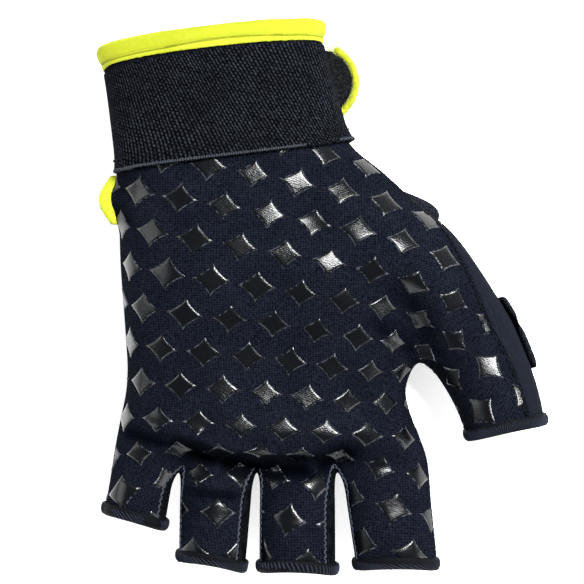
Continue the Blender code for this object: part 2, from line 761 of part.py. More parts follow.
def make_thumb_pad(skin):
    """The pad on the back of the thumb, whose edge stands out beyond the thumb's side."""
    rows = list(range(skin.names["thumb_base"] + 1, skin.web))
    hand_first = HAND_CELLS + len(THUMB_SIDE)
    thumb_first = len(THUMB_FRONT) + len(THUMB_SIDE) - 1
    cells = []
    for corners, _, tag, k in skin.cells:
        on_hand = tag in rows and 0 <= k - hand_first < THUMB_PAD_CELLS
        on_thumb = tag in [("thumb", j) for j in range(THUMB_PAD_ROWS)]
        on_thumb = on_thumb and 0 <= k - thumb_first < THUMB_PAD_CELLS
        if on_hand or on_thumb:
            cells.append(corners)
    rim = border_steps(cells, skin.points, skin.normals, PAD_EDGE)

    def outside(key):
        return GAP + THUMB_PAD_THICKNESS - (PAD_EDGE if key in rim else 0.0)

    thick_patch("thumb_back_pad", cells, skin.points, skin.normals, outside, lambda key: GAP, 0.0,
                BLACK, 0.7)


def make_hand_pad():
    """The flat padded back that the glove lies on."""
    corners = [in_palm(point) for point in PAD_OUTLINE]
    count = len(corners) * PAD_STEPS
    outline = []
    for k, corner in enumerate(corners):
        loop = [corners[k - 1], corner, corners[(k + 1) % len(corners)], corners[(k + 2) % len(corners)]]
        for step in range(PAD_STEPS):
            outline.append(through(loop, 1.0 + step / PAD_STEPS))
    inward = []
    for k in range(count):
        run = unit(outline[(k + 1) % count] - outline[k - 1])
        inward.append(vec(run[1], -run[0]))
    upper = PAD_THICKNESS - PAD_EDGE
    levels = ((0.0, PAD_EDGE), (PAD_EDGE, 0.0), (upper, 0.0), (PAD_THICKNESS, PAD_EDGE))
    spots = []
    for height, inset in levels:
        spots += [vec(*(spot + step * inset), height) for spot, step in zip(outline, inward)]
    faces = [tuple(range(count)), tuple(3 * count + k for k in reversed(range(count)))]
    for level in range(3):
        for k in range(count):
            a, b = level * count + k, level * count + (k + 1) % count
            faces.append((b, a, a + count, b + count))
    make_object("hand_back_pad", spots, faces, BLACK, 0.7)


def make_tab(skin):
    """The strap's rounded end under the wrist, which reaches out past the strap's thumb side."""
    low, top = skin.names["strap_low"], skin.names["strap_top"]
    middle_row = (low + top) // 2
    edge = skin.points["s2", middle_row - 1]
    upper = BACK_LEVEL - GAP - STRAP_THICKNESS - GAP
    end_x = edge[0] + STRAP_THICKNESS + TAB_REACH
    centre_y = lerp(skin.points["s2", low][1], skin.points["s2", top][1], TAB_PLACE)
    radius = TAB_HEIGHT / 2
    root_x = end_x - TAB_LENGTH
    middle = upper - TAB_THICKNESS / 2
    arc = []
    for k in range(TAB_STEPS + 1):
        angle = math.radians(-90 + 180 * k / TAB_STEPS)
        out = vec(math.cos(angle), math.sin(angle), 0.0)
        arc.append((vec(end_x - radius, centre_y, middle) + out * radius, out, vec(0, 0, 1)))
    outline = [vec(root_x, centre_y + radius, middle), vec(root_x, centre_y - radius, middle)]
    outline += [spot for spot, _, _ in arc]
    count = len(outline)
    half = vec(0, 0, TAB_THICKNESS / 2)
    spots = [spot + half for spot in outline] + [spot - half for spot in outline]
    faces = [tuple(range(count)), tuple(reversed(range(count, 2 * count)))]
    for k in range(count):
        following = (k + 1) % count
        faces.append((following, k, k + count, following + count))
    make_object("strap_tab", spots, faces, BLACK, 0.95)
    profile = edge_profile(TAB_TAPE_WIDTH, TAB_TAPE_THICKNESS)
    make_tape("tab_binding", arc[TAB_TRIM_STEPS:-TAB_TRIM_STEPS], False, profile, NEON, 0.6)


def move_origin():
    """Put the origin at the bottom centre of the glove."""
    meshes = [thing.data for thing in bpy.data.objects]
    spots = np.array([vertex.co[:] for mesh in meshes for vertex in mesh.vertices])
    low, high = spots.min(axis=0), spots.max(axis=0)
    shift = vec((low[0] + high[0]) / 2, (low[1] + high[1]) / 2, low[2])
    for mesh in meshes:
        for vertex in mesh.vertices:
            vertex.co = [a - b for a, b in zip(vertex.co, shift)]


def main():
    for thing in list(bpy.data.objects):
        bpy.data.objects.remove(thing)
    skin = Skin()
    make_panels(skin)
    make_cuff_binding(skin)
    make_strap(skin)
    make_vent_binding(skin)
    make_hems(skin)
    make_thumb_pad(skin)
    make_hand_pad()
    make_tab(skin)
    move_origin()


main()
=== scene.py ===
"""The looks of a half-finger field hockey glove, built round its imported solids.

The glove lies on its padded back with the palm up, X towards the thumb and Y towards the cuff.
Each cloth piece is a smooth copy of its solid, with folds pressed in on the palm side. Panels
and bands carry a surface map, so that knit, twill and elastic follow the cloth. Grip prints,
overlock thread, hem ribs and stitches are laid over those copies by geometry node trees.
"""

import math
from collections import namedtuple

import bmesh
import bpy
import numpy as np
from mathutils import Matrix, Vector, noise
from mathutils.bvhtree import BVHTree


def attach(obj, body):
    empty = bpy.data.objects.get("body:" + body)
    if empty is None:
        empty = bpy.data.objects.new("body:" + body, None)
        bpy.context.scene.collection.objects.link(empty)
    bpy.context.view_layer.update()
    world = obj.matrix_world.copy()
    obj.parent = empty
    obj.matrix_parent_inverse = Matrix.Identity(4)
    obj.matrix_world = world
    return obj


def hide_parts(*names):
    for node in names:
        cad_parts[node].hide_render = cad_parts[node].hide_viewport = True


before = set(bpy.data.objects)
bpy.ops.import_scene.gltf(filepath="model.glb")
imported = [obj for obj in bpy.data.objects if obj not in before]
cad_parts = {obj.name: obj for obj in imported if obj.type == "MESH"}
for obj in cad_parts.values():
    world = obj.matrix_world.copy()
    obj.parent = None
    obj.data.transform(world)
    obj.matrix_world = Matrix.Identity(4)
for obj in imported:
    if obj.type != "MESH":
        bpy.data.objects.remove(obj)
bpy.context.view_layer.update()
BODY = "root"

# The photograph's frame: its side in pixels, a pixel's width in metres at the glove's level,
# that level, how far above it the camera is, and the point under it
IMAGE_SIDE = 584
PIXEL = 0.000356
VIEW_LEVEL = 0.022
VIEW_DISTANCE = 0.9
VIEW_CENTRE = (-0.0101, 0.0022)
SENSOR = 36.0

# Copies of the solids: subdivision, how firmly edges are kept, and what counts as an edge
SMOOTHING = 2
CREASE = 0.85
BAND_CREASE = 0.75
TRIM_CREASE = 0.45
PAD_CREASE = 0.3
SHARP = math.radians(50)
PROBE = 0.003

# Folds on the palm side: from and to in metres, half width, depth, and the roll of cloth above
# the fold as a share of its depth
Fold = namedtuple("Fold", "name start end half_width depth roll")
FOLDS = (
    Fold("little_root", (-0.070, -0.047), (-0.053, -0.052), 0.0022, 0.0018, 0.6),
    Fold("ring_root_left", (-0.054, -0.051), (-0.036, -0.0575), 0.0026, 0.0030, 0.9),
    Fold("ring_root_right", (-0.036, -0.0575), (-0.020, -0.061), 0.0026, 0.0030, 0.9),
    Fold("middle_root", (-0.022, -0.0605), (-0.002, -0.061), 0.0028, 0.0026, 0.8),
    Fold("index_root", (-0.002, -0.061), (0.012, -0.053), 0.0030, 0.0020, 0.6),
    Fold("ring_knuckle", (-0.047, -0.0685), (-0.028, -0.070), 0.0015, 0.0016, 0.9),
    Fold("ring_bulge", (-0.049, -0.0745), (-0.038, -0.0760), 0.0016, 0.0005, 0.8),
    Fold("web", (0.0355, -0.0205), (0.0180, -0.0085), 0.0030, 0.0012, 0.5),
    Fold("web_upper", (0.0400, -0.0160), (0.0280, 0.0050), 0.0036, 0.0010, 0.4),
    Fold("thumb_root", (0.0500, -0.0330), (0.0330, -0.0080), 0.0035, 0.0008, 0.4),
    Fold("vent_tuck", (-0.0740, 0.0330), (-0.0660, 0.0250), 0.0016, 0.0010, 0.8),
    Fold("vent_drag", (-0.0750, 0.0400), (-0.0640, 0.0370), 0.0014, 0.0007, 0.6),
)
ROLL_PLACE = 2.2
FOLD_FLOOR = 0.018
FOLD_FADE = 0.006
# How deep a fold must be for its painted shade on the knit to be full
FOLD_DARK = 0.0024

# The cloth's slow sway: pitch and height
SWAY = ((0.016, 0.00032), (0.006, 0.00012))

# Pitches of the weaves, in metres
KNIT_COLUMN = 0.00092
KNIT_LOOP = 0.00080
TWILL_RIDGE = 0.00105
ELASTIC_RIB = 0.00125
ELASTIC_DASH = 0.00135
PRINT_CRINKLE = 0.00075
TAPE_YARN = 0.0006
PAD_GRAIN = 0.0011

# Grip prints: an evenly staggered field of plain four-pointed lozenges, bare above a slanting top
PRINT_CENTRE = (0.004, -0.024, 0.0)
PRINT_PITCH = (0.0150, 0.0122)
PRINT_COUNT = (13, 13)
PRINT_SIZE = (0.0128, 0.0106)
PRINT_LIFT = 0.00026
PRINT_SINK = 0.00015
PRINT_WAIST = 0.80
PRINT_CROWD = 1.6
PRINT_BORDER = 0.14
PRINT_TURN = -0.16
PRINT_CELLS = 8
PRINT_SIZES = (0.94, 1.06)
PRINT_SWING = 0.05
PRINT_TOP = 0.0535
PRINT_TOP_SLOPE = 0.12

# Borders and bands: how near a neighbour is, how deep a band's wall may be, how finely it is
# walked round, and how its lower edge is told from what rises beside it
BESIDE = 0.0012
BAND_REACH = 0.006
BAND_STOPS = 73
BAND_STEP = 0.004
EDGE_SPAN = 0.25
EDGE_RISE = 0.002

# Threads, and where the lines that they follow lie
THREAD_RADIUS = 0.00026
SEAM_INSET = 0.00055
SEAM_WAVE = 0.00028
SEAM_PITCH = 0.0019
INDEX_SEAM_REACH = (0.025, -0.045)
LADDER_INSET = 0.0005
LADDER_TOP = 0.028
HEM_MIDDLE = 0.0020
PIPING_HEIGHT = 0.0006
STRAP_STITCH_HEIGHT = 0.0042
STRAND_RADIUS = 0.00007
STRAND_TURNS = 9
STRAND_WAVES = 2.2
STRAND_APART = 7.3
STRAND_GROUPS_APART = 31.0

# Rows of stitches: turn is their angle from the line they follow
Row = namedtuple("Row", "pitch length radius turn lift stray")
SEAM_TICKS = Row(SEAM_PITCH, 0.0011, THREAD_RADIUS * 0.8, math.radians(80), THREAD_RADIUS * 0.5, 0.2)
LADDER = Row(0.0025, 0.0019, 0.00060, 0.0, 0.0001, 0.05)
HEM_RIBS = Row(0.0016, 0.0038, 0.00040, math.radians(66), 0.00040 * 0.2, 0.12)
PIPING = Row(0.00075, 0.0014, 0.00034, math.radians(62), 0.00034 * 0.3, 0.06)
STRAP_ROW = Row(0.0021, 0.0016, 0.0003, 0.0, 0.0002, 0.3)
CUFF_ROW = Row(0.0019, 0.0015, 0.00022, 0.12, 0.00008, 0.1)

# The cuff's tape, drawn in along its stitches; the vent's edging, stretched across and along to
# meet the cloth; and the pads' sewn channels
CUFF_LINE = 0.0027
CUFF_GROOVE = 0.0006
CUFF_SINK = 0.0009
CUFF_LUMP = 0.0024
PUCKER = 0.00022
VENT_REACH = (1.6, 1.15)
CHANNEL_PITCH = 0.017
CHANNEL_WIDTH = 0.0022
CHANNEL_DEPTH = 0.0007

# Colours in linear light
NAVY = (0.0008, 0.0012, 0.0028)
NAVY_FLECK = (0.016, 0.019, 0.029)
BLACK = (0.0012, 0.0014, 0.0022)
BLACK_FLECK = (0.037, 0.042, 0.053)
PAD_TONE = (0.0030, 0.0036, 0.0055)
PRINT_TONE = (0.0010, 0.0013, 0.0024)
# The colour of the painted highlight along the prints' rims
PRINT_RIM_HIGHLIGHT = (0.035, 0.040, 0.050)
TWILL_TONE = (0.0016, 0.0021, 0.0040)
TWILL_FLECK = (0.018, 0.021, 0.030)
NEON = (0.53, 0.55, 0.046)
# NEON_SHADE is the weave's deeper tone and the painted shade above the cuff's stitches
NEON_SHADE = (0.31, 0.355, 0.012)
# NEON_DEEP is the neon stitches' thread and the painted shade in the cuff's stitch groove
NEON_DEEP = (0.10, 0.12, 0.004)
THREAD_TONE = (0.026, 0.030, 0.042)
# The hems' rib thread, lighter than the black hem: its own tone and a painted highlight
HEM_RIB_TONE_AND_HIGHLIGHT = (0.0050, 0.0060, 0.0095)
STRAND_TONE = (0.48, 0.52, 0.20)
PIPING_TONE = (0.022, 0.025, 0.031)
PILE_FLECK = (0.035, 0.037, 0.040)
FLOOR_TONE = (0.95, 0.95, 0.95)
FLOOR_GLOW = 0.62

# The floor and the studio's light
FLOOR_HALF = 3.0
FLOOR_DROP = 0.0002
LAMP_AIM = (0.0, 0.0, 0.02)
SKY_LOW = 0.9
SKY_TOP = 0.22


# Nodes written as expressions


class Value:
    """A number in a node tree; an expression on it adds its Math nodes."""

    def __init__(self, nodes, socket):
        self.nodes = nodes
        self.socket = socket

    def math(self, operation, *others):
        inputs = dict(enumerate((self, *others)))
        return self.nodes.value("ShaderNodeMath", {"operation": operation}, inputs)

    def __add__(self, other):
        return self.math("ADD", other)

    __radd__ = __add__

    def __mul__(self, other):
        return self.math("MULTIPLY", other)

    __rmul__ = __mul__

    def __sub__(self, other):
        return self.math("SUBTRACT", other)

    def __rsub__(self, other):
        return self.nodes.value("ShaderNodeMath", {"operation": "SUBTRACT"}, {0: other, 1: self})

    def __truediv__(self, other):
        return self.math("DIVIDE", other)

    def __pow__(self, other):
        return self.math("POWER", other)

    def at_least(self, other):
        return self.math("MAXIMUM", other)

    def at_most(self, other):
        return self.math("MINIMUM", other)

    def above(self, other):
        return self.math("GREATER_THAN", other)

    def sine(self):
        return self.math("SINE")

    def fraction(self):
        return self.math("FRACT")

    def whole(self):
        return self.math("FLOOR")

    def size(self):
        return self.math("ABSOLUTE")

    def ramp(self, low, high):
        """From 0 at low to 1 at high, eased."""
        settings = {"interpolation_type": "SMOOTHSTEP"}
        inputs = {"Value": self, "From Min": low, "From Max": high}
        return self.nodes.value("ShaderNodeMapRange", settings, inputs)


def find_socket(sockets, key):
    """A socket by its place, or the one in use of a name."""
    if isinstance(key, int):
        return sockets[key]
    return next(socket for socket in sockets if socket.name == key and socket.enabled)


class Nodes:
    """Adds nodes to a tree: a type, its settings, then the values or links of its sockets."""

    def __init__(self, tree):
        self.tree = tree

    def node(self, kind, settings=(), inputs=()):
        node = self.tree.nodes.new(kind)
        for key, setting in dict(settings).items():
            setattr(node, key, setting)
        for key, value in dict(inputs).items():
            self.feed(find_socket(node.inputs, key), value)
        return node

    def link(self, kind, settings=(), inputs=(), output=0):
        """A new node's output, to be linked on."""
        return find_socket(self.node(kind, settings, inputs).outputs, output)

    def feed(self, socket, value):
        value = value.socket if isinstance(value, Value) else value
        if isinstance(value, bpy.types.NodeSocket):
            self.tree.links.new(value, socket)
        else:
            socket.default_value = value

    def value(self, kind, settings=(), inputs=(), output=0):
        return Value(self, self.link(kind, settings, inputs, output))

    def parts(self, vector):
        """The three numbers of a vector."""
        split = self.node("ShaderNodeSeparateXYZ", (), {0: vector})
        return [Value(self, socket) for socket in split.outputs]

    def vector(self, x, y, z):
        return self.node("ShaderNodeCombineXYZ", (), {0: x, 1: y, 2: z}).outputs[0]

    def arrow(self, operation, *vectors):
        inputs = dict(enumerate(vectors))
        return self.node("ShaderNodeVectorMath", {"operation": operation}, inputs).outputs[0]

    def scaled(self, vector, size):
        inputs = {0: vector, "Scale": size}
        return self.node("ShaderNodeVectorMath", {"operation": "SCALE"}, inputs).outputs[0]


class Paint(Nodes):
    """One material, with the piece's surface map and the object's own coordinates."""

    def __init__(self, name, **constants):
        self.material = bpy.data.materials.new(name)
        self.material.use_nodes = True
        super().__init__(self.material.node_tree)
        self.shader = self.tree.nodes["Principled BSDF"]
        for key, value in constants.items():
            self.shader.inputs[key.replace("_", " ")].default_value = value
        place = self.node("ShaderNodeTexCoord")
        self.object = place.outputs["Object"]
        self.map = place.outputs["UV"]

    def grain(self, vector, pitch, detail=2.0, roughness=0.5):
        """Soft noise whose blotches are about a pitch wide."""
        inputs = {"Vector": vector, "Scale": 1.0 / pitch, "Detail": detail, "Roughness": roughness}
        return self.value("ShaderNodeTexNoise", (), inputs)

    def mix(self, share, first, second):
        inputs = {"Factor": share, 6: (*first, 1.0) if isinstance(first, tuple) else first,
                  7: (*second, 1.0) if isinstance(second, tuple) else second}
        return self.node("ShaderNodeMix", {"data_type": "RGBA"}, inputs).outputs[2]

    def finish(self, colour, roughness, height, depth):
        """Colour, roughness and the relief that a height from 0 to 1 raises, depth in metres."""
        self.feed(self.shader.inputs["Base Color"], colour)
        self.feed(self.shader.inputs["Roughness"], roughness)
        bump = self.node("ShaderNodeBump", (), {"Strength": 1.0, "Distance": depth, "Height": height})
        self.feed(self.shader.inputs["Normal"], bump.outputs[0])
        return self.material


# Materials


def wave(turns):
    """A hump from 0 to 1 and back, once each turn."""
    return (turns.fraction() * math.pi).sine()


def knit(name, tone, fleck, share=1.0):
    """Fine jersey: columns of small slanting loops, with flecks where the yarn catches light.

    Share is how many flecks there are; the folds kept on the mesh as shade have none, and the cloth
    in them is darkened as painted shade.
    """
    paint = Paint(name, IOR=1.03)
    u, v, _ = paint.parts(paint.map)
    column = u / KNIT_COLUMN
    side = (column.fraction() - 0.5).size() * 2.0
    loop = (v / KNIT_LOOP + side * 0.5).fraction()
    yarn = (loop * math.pi).sine() * (1.0 - side ** 3.0)
    stray = paint.grain(paint.object, 0.0009, 3.0, 0.7)
    patch = paint.grain(paint.object, 0.012, 2.0)
    lit = (yarn * 0.40 + stray * 1.3 - 0.58).at_least(0.0) * (0.45 + patch * 0.9) * share
    # Painted shade in the folds, kept on the mesh: it takes the flecks away and darkens the cloth
    # towards a quarter of its tone
    shade = paint.value("ShaderNodeAttribute", {"attribute_name": "shade"}, (), "Fac")
    lit = lit.at_most(1.0) * (1.0 - shade).at_least(0.0)
    cloth = paint.mix(lit, tone, fleck)
    colour = paint.mix((shade * 0.85).at_most(1.0), cloth, tuple(0.25 * c for c in tone))
    return paint.finish(colour, 0.62 + stray * 0.25, yarn * 0.7 + stray * 0.6, 0.00016)


def twill():
    """Fine diagonal twill of the thumb's side strip."""
    paint = Paint("charcoal_twill", IOR=1.03)
    u, v, _ = paint.parts(paint.map)
    ridge = wave((u * 0.55 + v) / TWILL_RIDGE)
    stray = paint.grain(paint.object, 0.0012, 2.0)
    lit = (ridge * 0.9 + stray * 0.9 - 0.78).at_least(0.0)
    colour = paint.mix(lit.at_most(1.0), TWILL_TONE, TWILL_FLECK)
    return paint.finish(colour, 0.55 + stray * 0.2, ridge, 0.00014)


def elastic():
    """Woven elastic: close ribs across the band, each a row of short bright dashes."""
    paint = Paint("ribbed_elastic", IOR=1.03)
    u, v, _ = paint.parts(paint.map)
    wander = paint.grain(paint.object, 0.004, 2.0) - 0.5
    rib = (u + wander * 0.0006) / ELASTIC_RIB
    across = wave(rib)
    step = rib.whole() * 0.37
    dash = wave((v + wander * 0.0008) / ELASTIC_DASH + step)
    knot = across * dash
    stray = paint.grain(paint.object, 0.0011, 3.0, 0.7)
    worn = paint.grain(paint.object, 0.016, 2.0)
    ridge = across * (0.62 + dash * 0.38)
    lit = ((ridge - 0.55) * 1.1 + (stray - 0.5) * 1.9).at_least(0.0) * (0.30 + worn * 1.0)
    colour = paint.mix(lit.at_most(1.0), BLACK, BLACK_FLECK)
    return paint.finish(colour, 0.70 + stray * 0.2, knot * 0.8 + stray * 0.4, 0.00030)


def grip_print():
    """Clear dark silicone with fine crinkles, which only shows where it catches the light, and a
    painted highlight in dashes along each print's rim.
    """
    paint = Paint("grip_print", IOR=1.34)
    x, y, _ = paint.parts(paint.object)
    wander = paint.grain(paint.object, 0.003, 3.0, 0.6)
    crinkle = (((x * 0.35 + y) / PRINT_CRINKLE + wander * 4.0) * (2.0 * math.pi)).sine() * 0.5 + 0.5
    pits = paint.grain(paint.object, 0.0009, 3.0, 0.7)
    dashes = paint.grain(paint.object, 0.0016, 2.0).ramp(0.46, 0.62)
    rim = paint.value("ShaderNodeAttribute", {"attribute_name": "rim"}, (), "Fac")
    # Painted highlight: broken dashes of lighter colour near each print's rim
    edge = rim.ramp(0.80, 0.90) * (1.0 - rim.ramp(0.94, 1.0)) * dashes
    colour = paint.mix(edge, PRINT_TONE, PRINT_RIM_HIGHLIGHT)
    return paint.finish(colour, 0.17 + pits * 0.12, crinkle * 0.3 + pits * 0.7, 0.00005)


def neon_cloth(name, sewn=0.0):
    """Bright folded tape: a fine matt weave, deeper in colour between its yarns.

    Sewn is 1 for tape whose map runs up from a sewn edge; there painted shade darkens the tape above
    its stitches, and more so in their groove.
    """
    paint = Paint(name, IOR=1.15)
    u, v, _ = paint.parts(paint.map)
    weave = wave(u / TAPE_YARN) * wave(v / TAPE_YARN)
    stray = paint.grain(paint.object, 0.0014, 3.0, 0.6)
    patch = paint.grain(paint.object, 0.009, 2.0)
    deep = (1.0 - weave * 0.4 - stray * 0.5 - patch * 0.15).at_least(0.0)
    # Painted shade: the tape above its stitch line is darker
    deep = deep + v.ramp(CUFF_LINE, CUFF_LINE + 0.0012) * 0.22 * sewn
    cloth = paint.mix(deep.at_most(1.0), NEON, NEON_SHADE)
    # Painted shade in the groove that the stitches draw in
    groove = 1.0 - ((v - CUFF_LINE).size() / (1.3 * CUFF_GROOVE)).at_most(1.0)
    colour = paint.mix(groove * (0.35 + stray * 0.9) * sewn, cloth, NEON_DEEP)
    return paint.finish(colour, 0.72 + stray * 0.15, weave * 0.5 + stray, 0.00018)


def thread(name, tone, lift=1.6):
    """Twisted thread, lighter in random patches, by up to lift times its tone."""
    paint = Paint(name, IOR=1.15)
    stray = paint.grain(paint.object, 0.0006, 3.0, 0.7)
    patch = paint.grain(paint.object, 0.006, 2.0)
    bright = tuple(min(1.0, lift * c) for c in tone)
    colour = paint.mix((stray * 0.8 + patch * 0.5 - 0.15).at_most(1.0), tone, bright)
    return paint.finish(colour, 0.55 + stray * 0.25, stray, 0.00012)


def pile():
    """Fuzzy loop pile under the tab's little loops."""
    paint = Paint("loop_pile", Sheen_Weight=0.1, IOR=1.03)
    stray = paint.grain(paint.object, 0.0010, 4.0, 0.8)
    colour = paint.mix((stray - 0.45).at_least(0.0) * 2.0, BLACK, PILE_FLECK)
    return paint.finish(colour, 0.85 + stray * 0.1, stray, 0.0005)


def pad_cloth():
    """Smooth stretch cloth over foam, with a faint crosswise grain."""
    paint = Paint("pad_cloth", IOR=1.03)
    x, y, _ = paint.parts(paint.object)
    grid = wave(x / PAD_GRAIN) * wave(y / PAD_GRAIN)
    stray = paint.grain(paint.object, 0.0012, 3.0, 0.7)
    colour = paint.mix((grid * 0.3 + stray * 0.9 - 0.4).at_least(0.0), PAD_TONE, BLACK_FLECK)
    return paint.finish(colour, 0.6 + stray * 0.2, grid * 0.6 + stray * 0.4, 0.00015)


def plain_floor():
    paint = Paint("pale_floor", Roughness=0.9, IOR=1.03)
    patch = paint.grain(paint.object, 0.4, 2.0)
    dim = tuple(0.985 * c for c in FLOOR_TONE)
    paint.shader.inputs["Emission Color"].default_value = (1.0, 1.0, 1.0, 1.0)
    paint.shader.inputs["Emission Strength"].default_value = FLOOR_GLOW
    paint.feed(paint.shader.inputs["Base Color"], paint.mix(patch, FLOOR_TONE, dim))
    return paint.material


MATERIALS = {
    "palm": knit("navy_knit", NAVY, NAVY_FLECK),
    "back": knit("black_knit", BLACK, BLACK_FLECK, 0.5),
    "gusset": knit("gusset_knit", BLACK, BLACK_FLECK, 0.25),
    "twill": twill(),
    "elastic": elastic(),
    "print": grip_print(),
    "neon": neon_cloth("neon_edging"),
    "cuff": neon_cloth("neon_tape", 1.0),
    "seam": thread("seam_thread", THREAD_TONE),
    # The hem's ribs are painted lighter than the black hem band: partly their own tone, partly a
    # painted highlight on each rib
    "hem": thread("hem_thread", HEM_RIB_TONE_AND_HIGHLIGHT, 4.0),
    "stitch": thread("neon_thread", NEON_DEEP, 2.0),
    "piping": thread("piping_thread", PIPING_TONE),
    "dark": thread("dark_thread", BLACK),
    "strand": thread("frayed_thread", STRAND_TONE, 1.3),
    "pile": pile(),
    "pad": pad_cloth(),
}


# From solids to cloth


def node_mesh(node):
    """A node's own faces as one welded mesh of quads."""
    shell = bmesh.new()
    shell.from_mesh(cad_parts[node].data)
    bmesh.ops.remove_doubles(shell, verts=shell.verts, dist=1e-5)
    bmesh.ops.join_triangles(
        shell, faces=shell.faces, angle_face_threshold=math.radians(60), angle_shape_threshold=math.pi
    )
    shell.normal_update()
    return shell


def all_walls():
    """One search tree over every cloth wall, for telling the inside of the glove from outside."""
    points, faces = [], []
    for node in ("palm_panel", "back_panel", "thumb_side_panel", "gusset_little_ring",
                 "gusset_ring_middle", "gusset_middle_index"):
        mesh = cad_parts[node].data
        start = len(points)
        points += [v.co.copy() for v in mesh.vertices]
        faces += [[start + i for i in polygon.vertices] for polygon in mesh.polygons]
    return BVHTree.FromPolygons(points, faces)


WALLS = all_walls()
UP = Vector((0.0, 0.0, 1.0))

# How a panel's map lies: its right and up directions
MAP_SIDES = {
    "front": ((1, 0, 0), (0, 1, 0)),
    "back": ((-1, 0, 0), (0, 1, 0)),
    "edge": ((0, 0, 1), (0, 1, 0)),
}


def is_inside(point):
    return WALLS.ray_cast(point, UP)[0] is not None and WALLS.ray_cast(point, -UP)[0] is not None


def is_outer(face):
    """Whether a wall's face looks out of the glove and not into it."""
    middle = face.calc_center_median()
    out = face.normal * PROBE
    return not is_inside(middle + out) and is_inside(middle - out)


def find_outer(shell):
    """For each face, whether it is on the outer side: whole smooth regions vote together."""
    votes = [is_outer(face) for face in shell.faces]
    seen = set()
    outer = [False] * len(votes)
    for start in shell.faces:
        if start.index in seen:
            continue
        seen.add(start.index)
        group, queue = [], [start]
        while queue:
            face = queue.pop()
            group.append(face)
            for edge in face.edges:
                for other in edge.link_faces:
                    if other.index not in seen and edge.calc_face_angle(0.0) < SHARP:
                        seen.add(other.index)
                        queue.append(other)
        weight = sum(face.calc_area() * (1 if votes[face.index] else -1) for face in group)
        for face in group:
            outer[face.index] = weight > 0
    return outer


def fit_map(object_, outer, side):
    """Lay the unwrapped surface map over a side's two directions, in metres."""
    mesh = object_.data
    layer = mesh.uv_layers.active.data
    flat = np.array([loop.uv[:] for loop in layer])
    here = np.array([mesh.vertices[loop.vertex_index].co[:] for loop in mesh.loops])
    wanted = np.zeros(len(flat), bool)
    right, up = (np.array(way, float) for way in MAP_SIDES[side])
    facing = np.cross(right, up)
    for polygon in mesh.polygons:
        if outer[polygon.index] and abs(np.array(polygon.normal[:]) @ facing) > 0.7:
            wanted[list(polygon.loop_indices)] = True
    goal = (here @ right + 1j * (here @ up))[wanted]
    given = (flat[:, 0] + 1j * flat[:, 1])
    centred = given[wanted] - given[wanted].mean()
    turn = (goal - goal.mean()) @ centred.conj() / (centred @ centred.conj())
    laid = (given - given[wanted].mean()) * turn + goal.mean()
    layer.foreach_set("uv", np.stack([laid.real, laid.imag], axis=1).astype(np.float32).ravel())
    mesh.update()


def unwrap(object_):
    for other in bpy.context.selected_objects:
        other.select_set(False)
    bpy.context.view_layer.objects.active = object_
    object_.select_set(True)
    bpy.ops.object.mode_set(mode="EDIT")
    bpy.ops.mesh.select_all(action="SELECT")
    bpy.ops.uv.unwrap(method="ANGLE_BASED", margin=0.001)
    bpy.ops.object.mode_set(mode="OBJECT")
    object_.select_set(False)


def plain_object(name, mesh):
    object_ = bpy.data.objects.new(name, mesh)
    bpy.context.scene.collection.objects.link(object_)
    return object_


def settle(object_, material):
    """Turn a piece with modifiers into a plain mesh at the origin."""
    object_.data.update_tag()
    bpy.context.view_layer.update()
    graph = bpy.context.evaluated_depsgraph_get()
    mesh = bpy.data.meshes.new_from_object(object_.evaluated_get(graph))
    object_.modifiers.clear()
    object_.data = mesh
    mesh.materials.clear()
    mesh.materials.append(material)
    mesh.shade_smooth()
    return object_


def soften(object_, levels):
    smoother = object_.modifiers.new("soft", "SUBSURF")
    smoother.levels = smoother.render_levels = levels


def smooth_copy(node, name, levels, crease, side=None):
    """A finer copy of a node with its edges kept; side says how its surface map is laid."""
    shell = node_mesh(node)
    shell.faces.index_update()
    outer = find_outer(shell) if side else [False] * len(shell.faces)
    folds = shell.edges.layers.float.new("crease_edge")
    for edge in shell.edges:
        on_cloth = all(outer[face.index] for face in edge.link_faces)
        if edge.calc_face_angle() > SHARP and not on_cloth:
            edge[folds] = crease
            edge.seam = True
    mesh = bpy.data.meshes.new(name)
    shell.to_mesh(mesh)
    shell.free()
    object_ = plain_object(name, mesh)
    if side:
        mesh.uv_layers.new(name="cloth")
        unwrap(object_)
        fit_map(object_, outer, side)
        mark_outer(mesh, outer)
    if levels:
        soften(object_, levels)
    return object_


def mesh_points(mesh):
    points = np.empty(len(mesh.vertices) * 3, np.float32)
    mesh.vertices.foreach_get("co", points)
    return points.reshape(-1, 3).astype(float)


def set_points(mesh, points):
    mesh.vertices.foreach_set("co", points.astype(np.float32).ravel())
    mesh.update()


def mesh_normals(mesh):
    return np.array([vertex.normal[:] for vertex in mesh.vertices])


def ease(share):
    share = np.clip(share, 0.0, 1.0)
    return share * share * (3.0 - 2.0 * share)


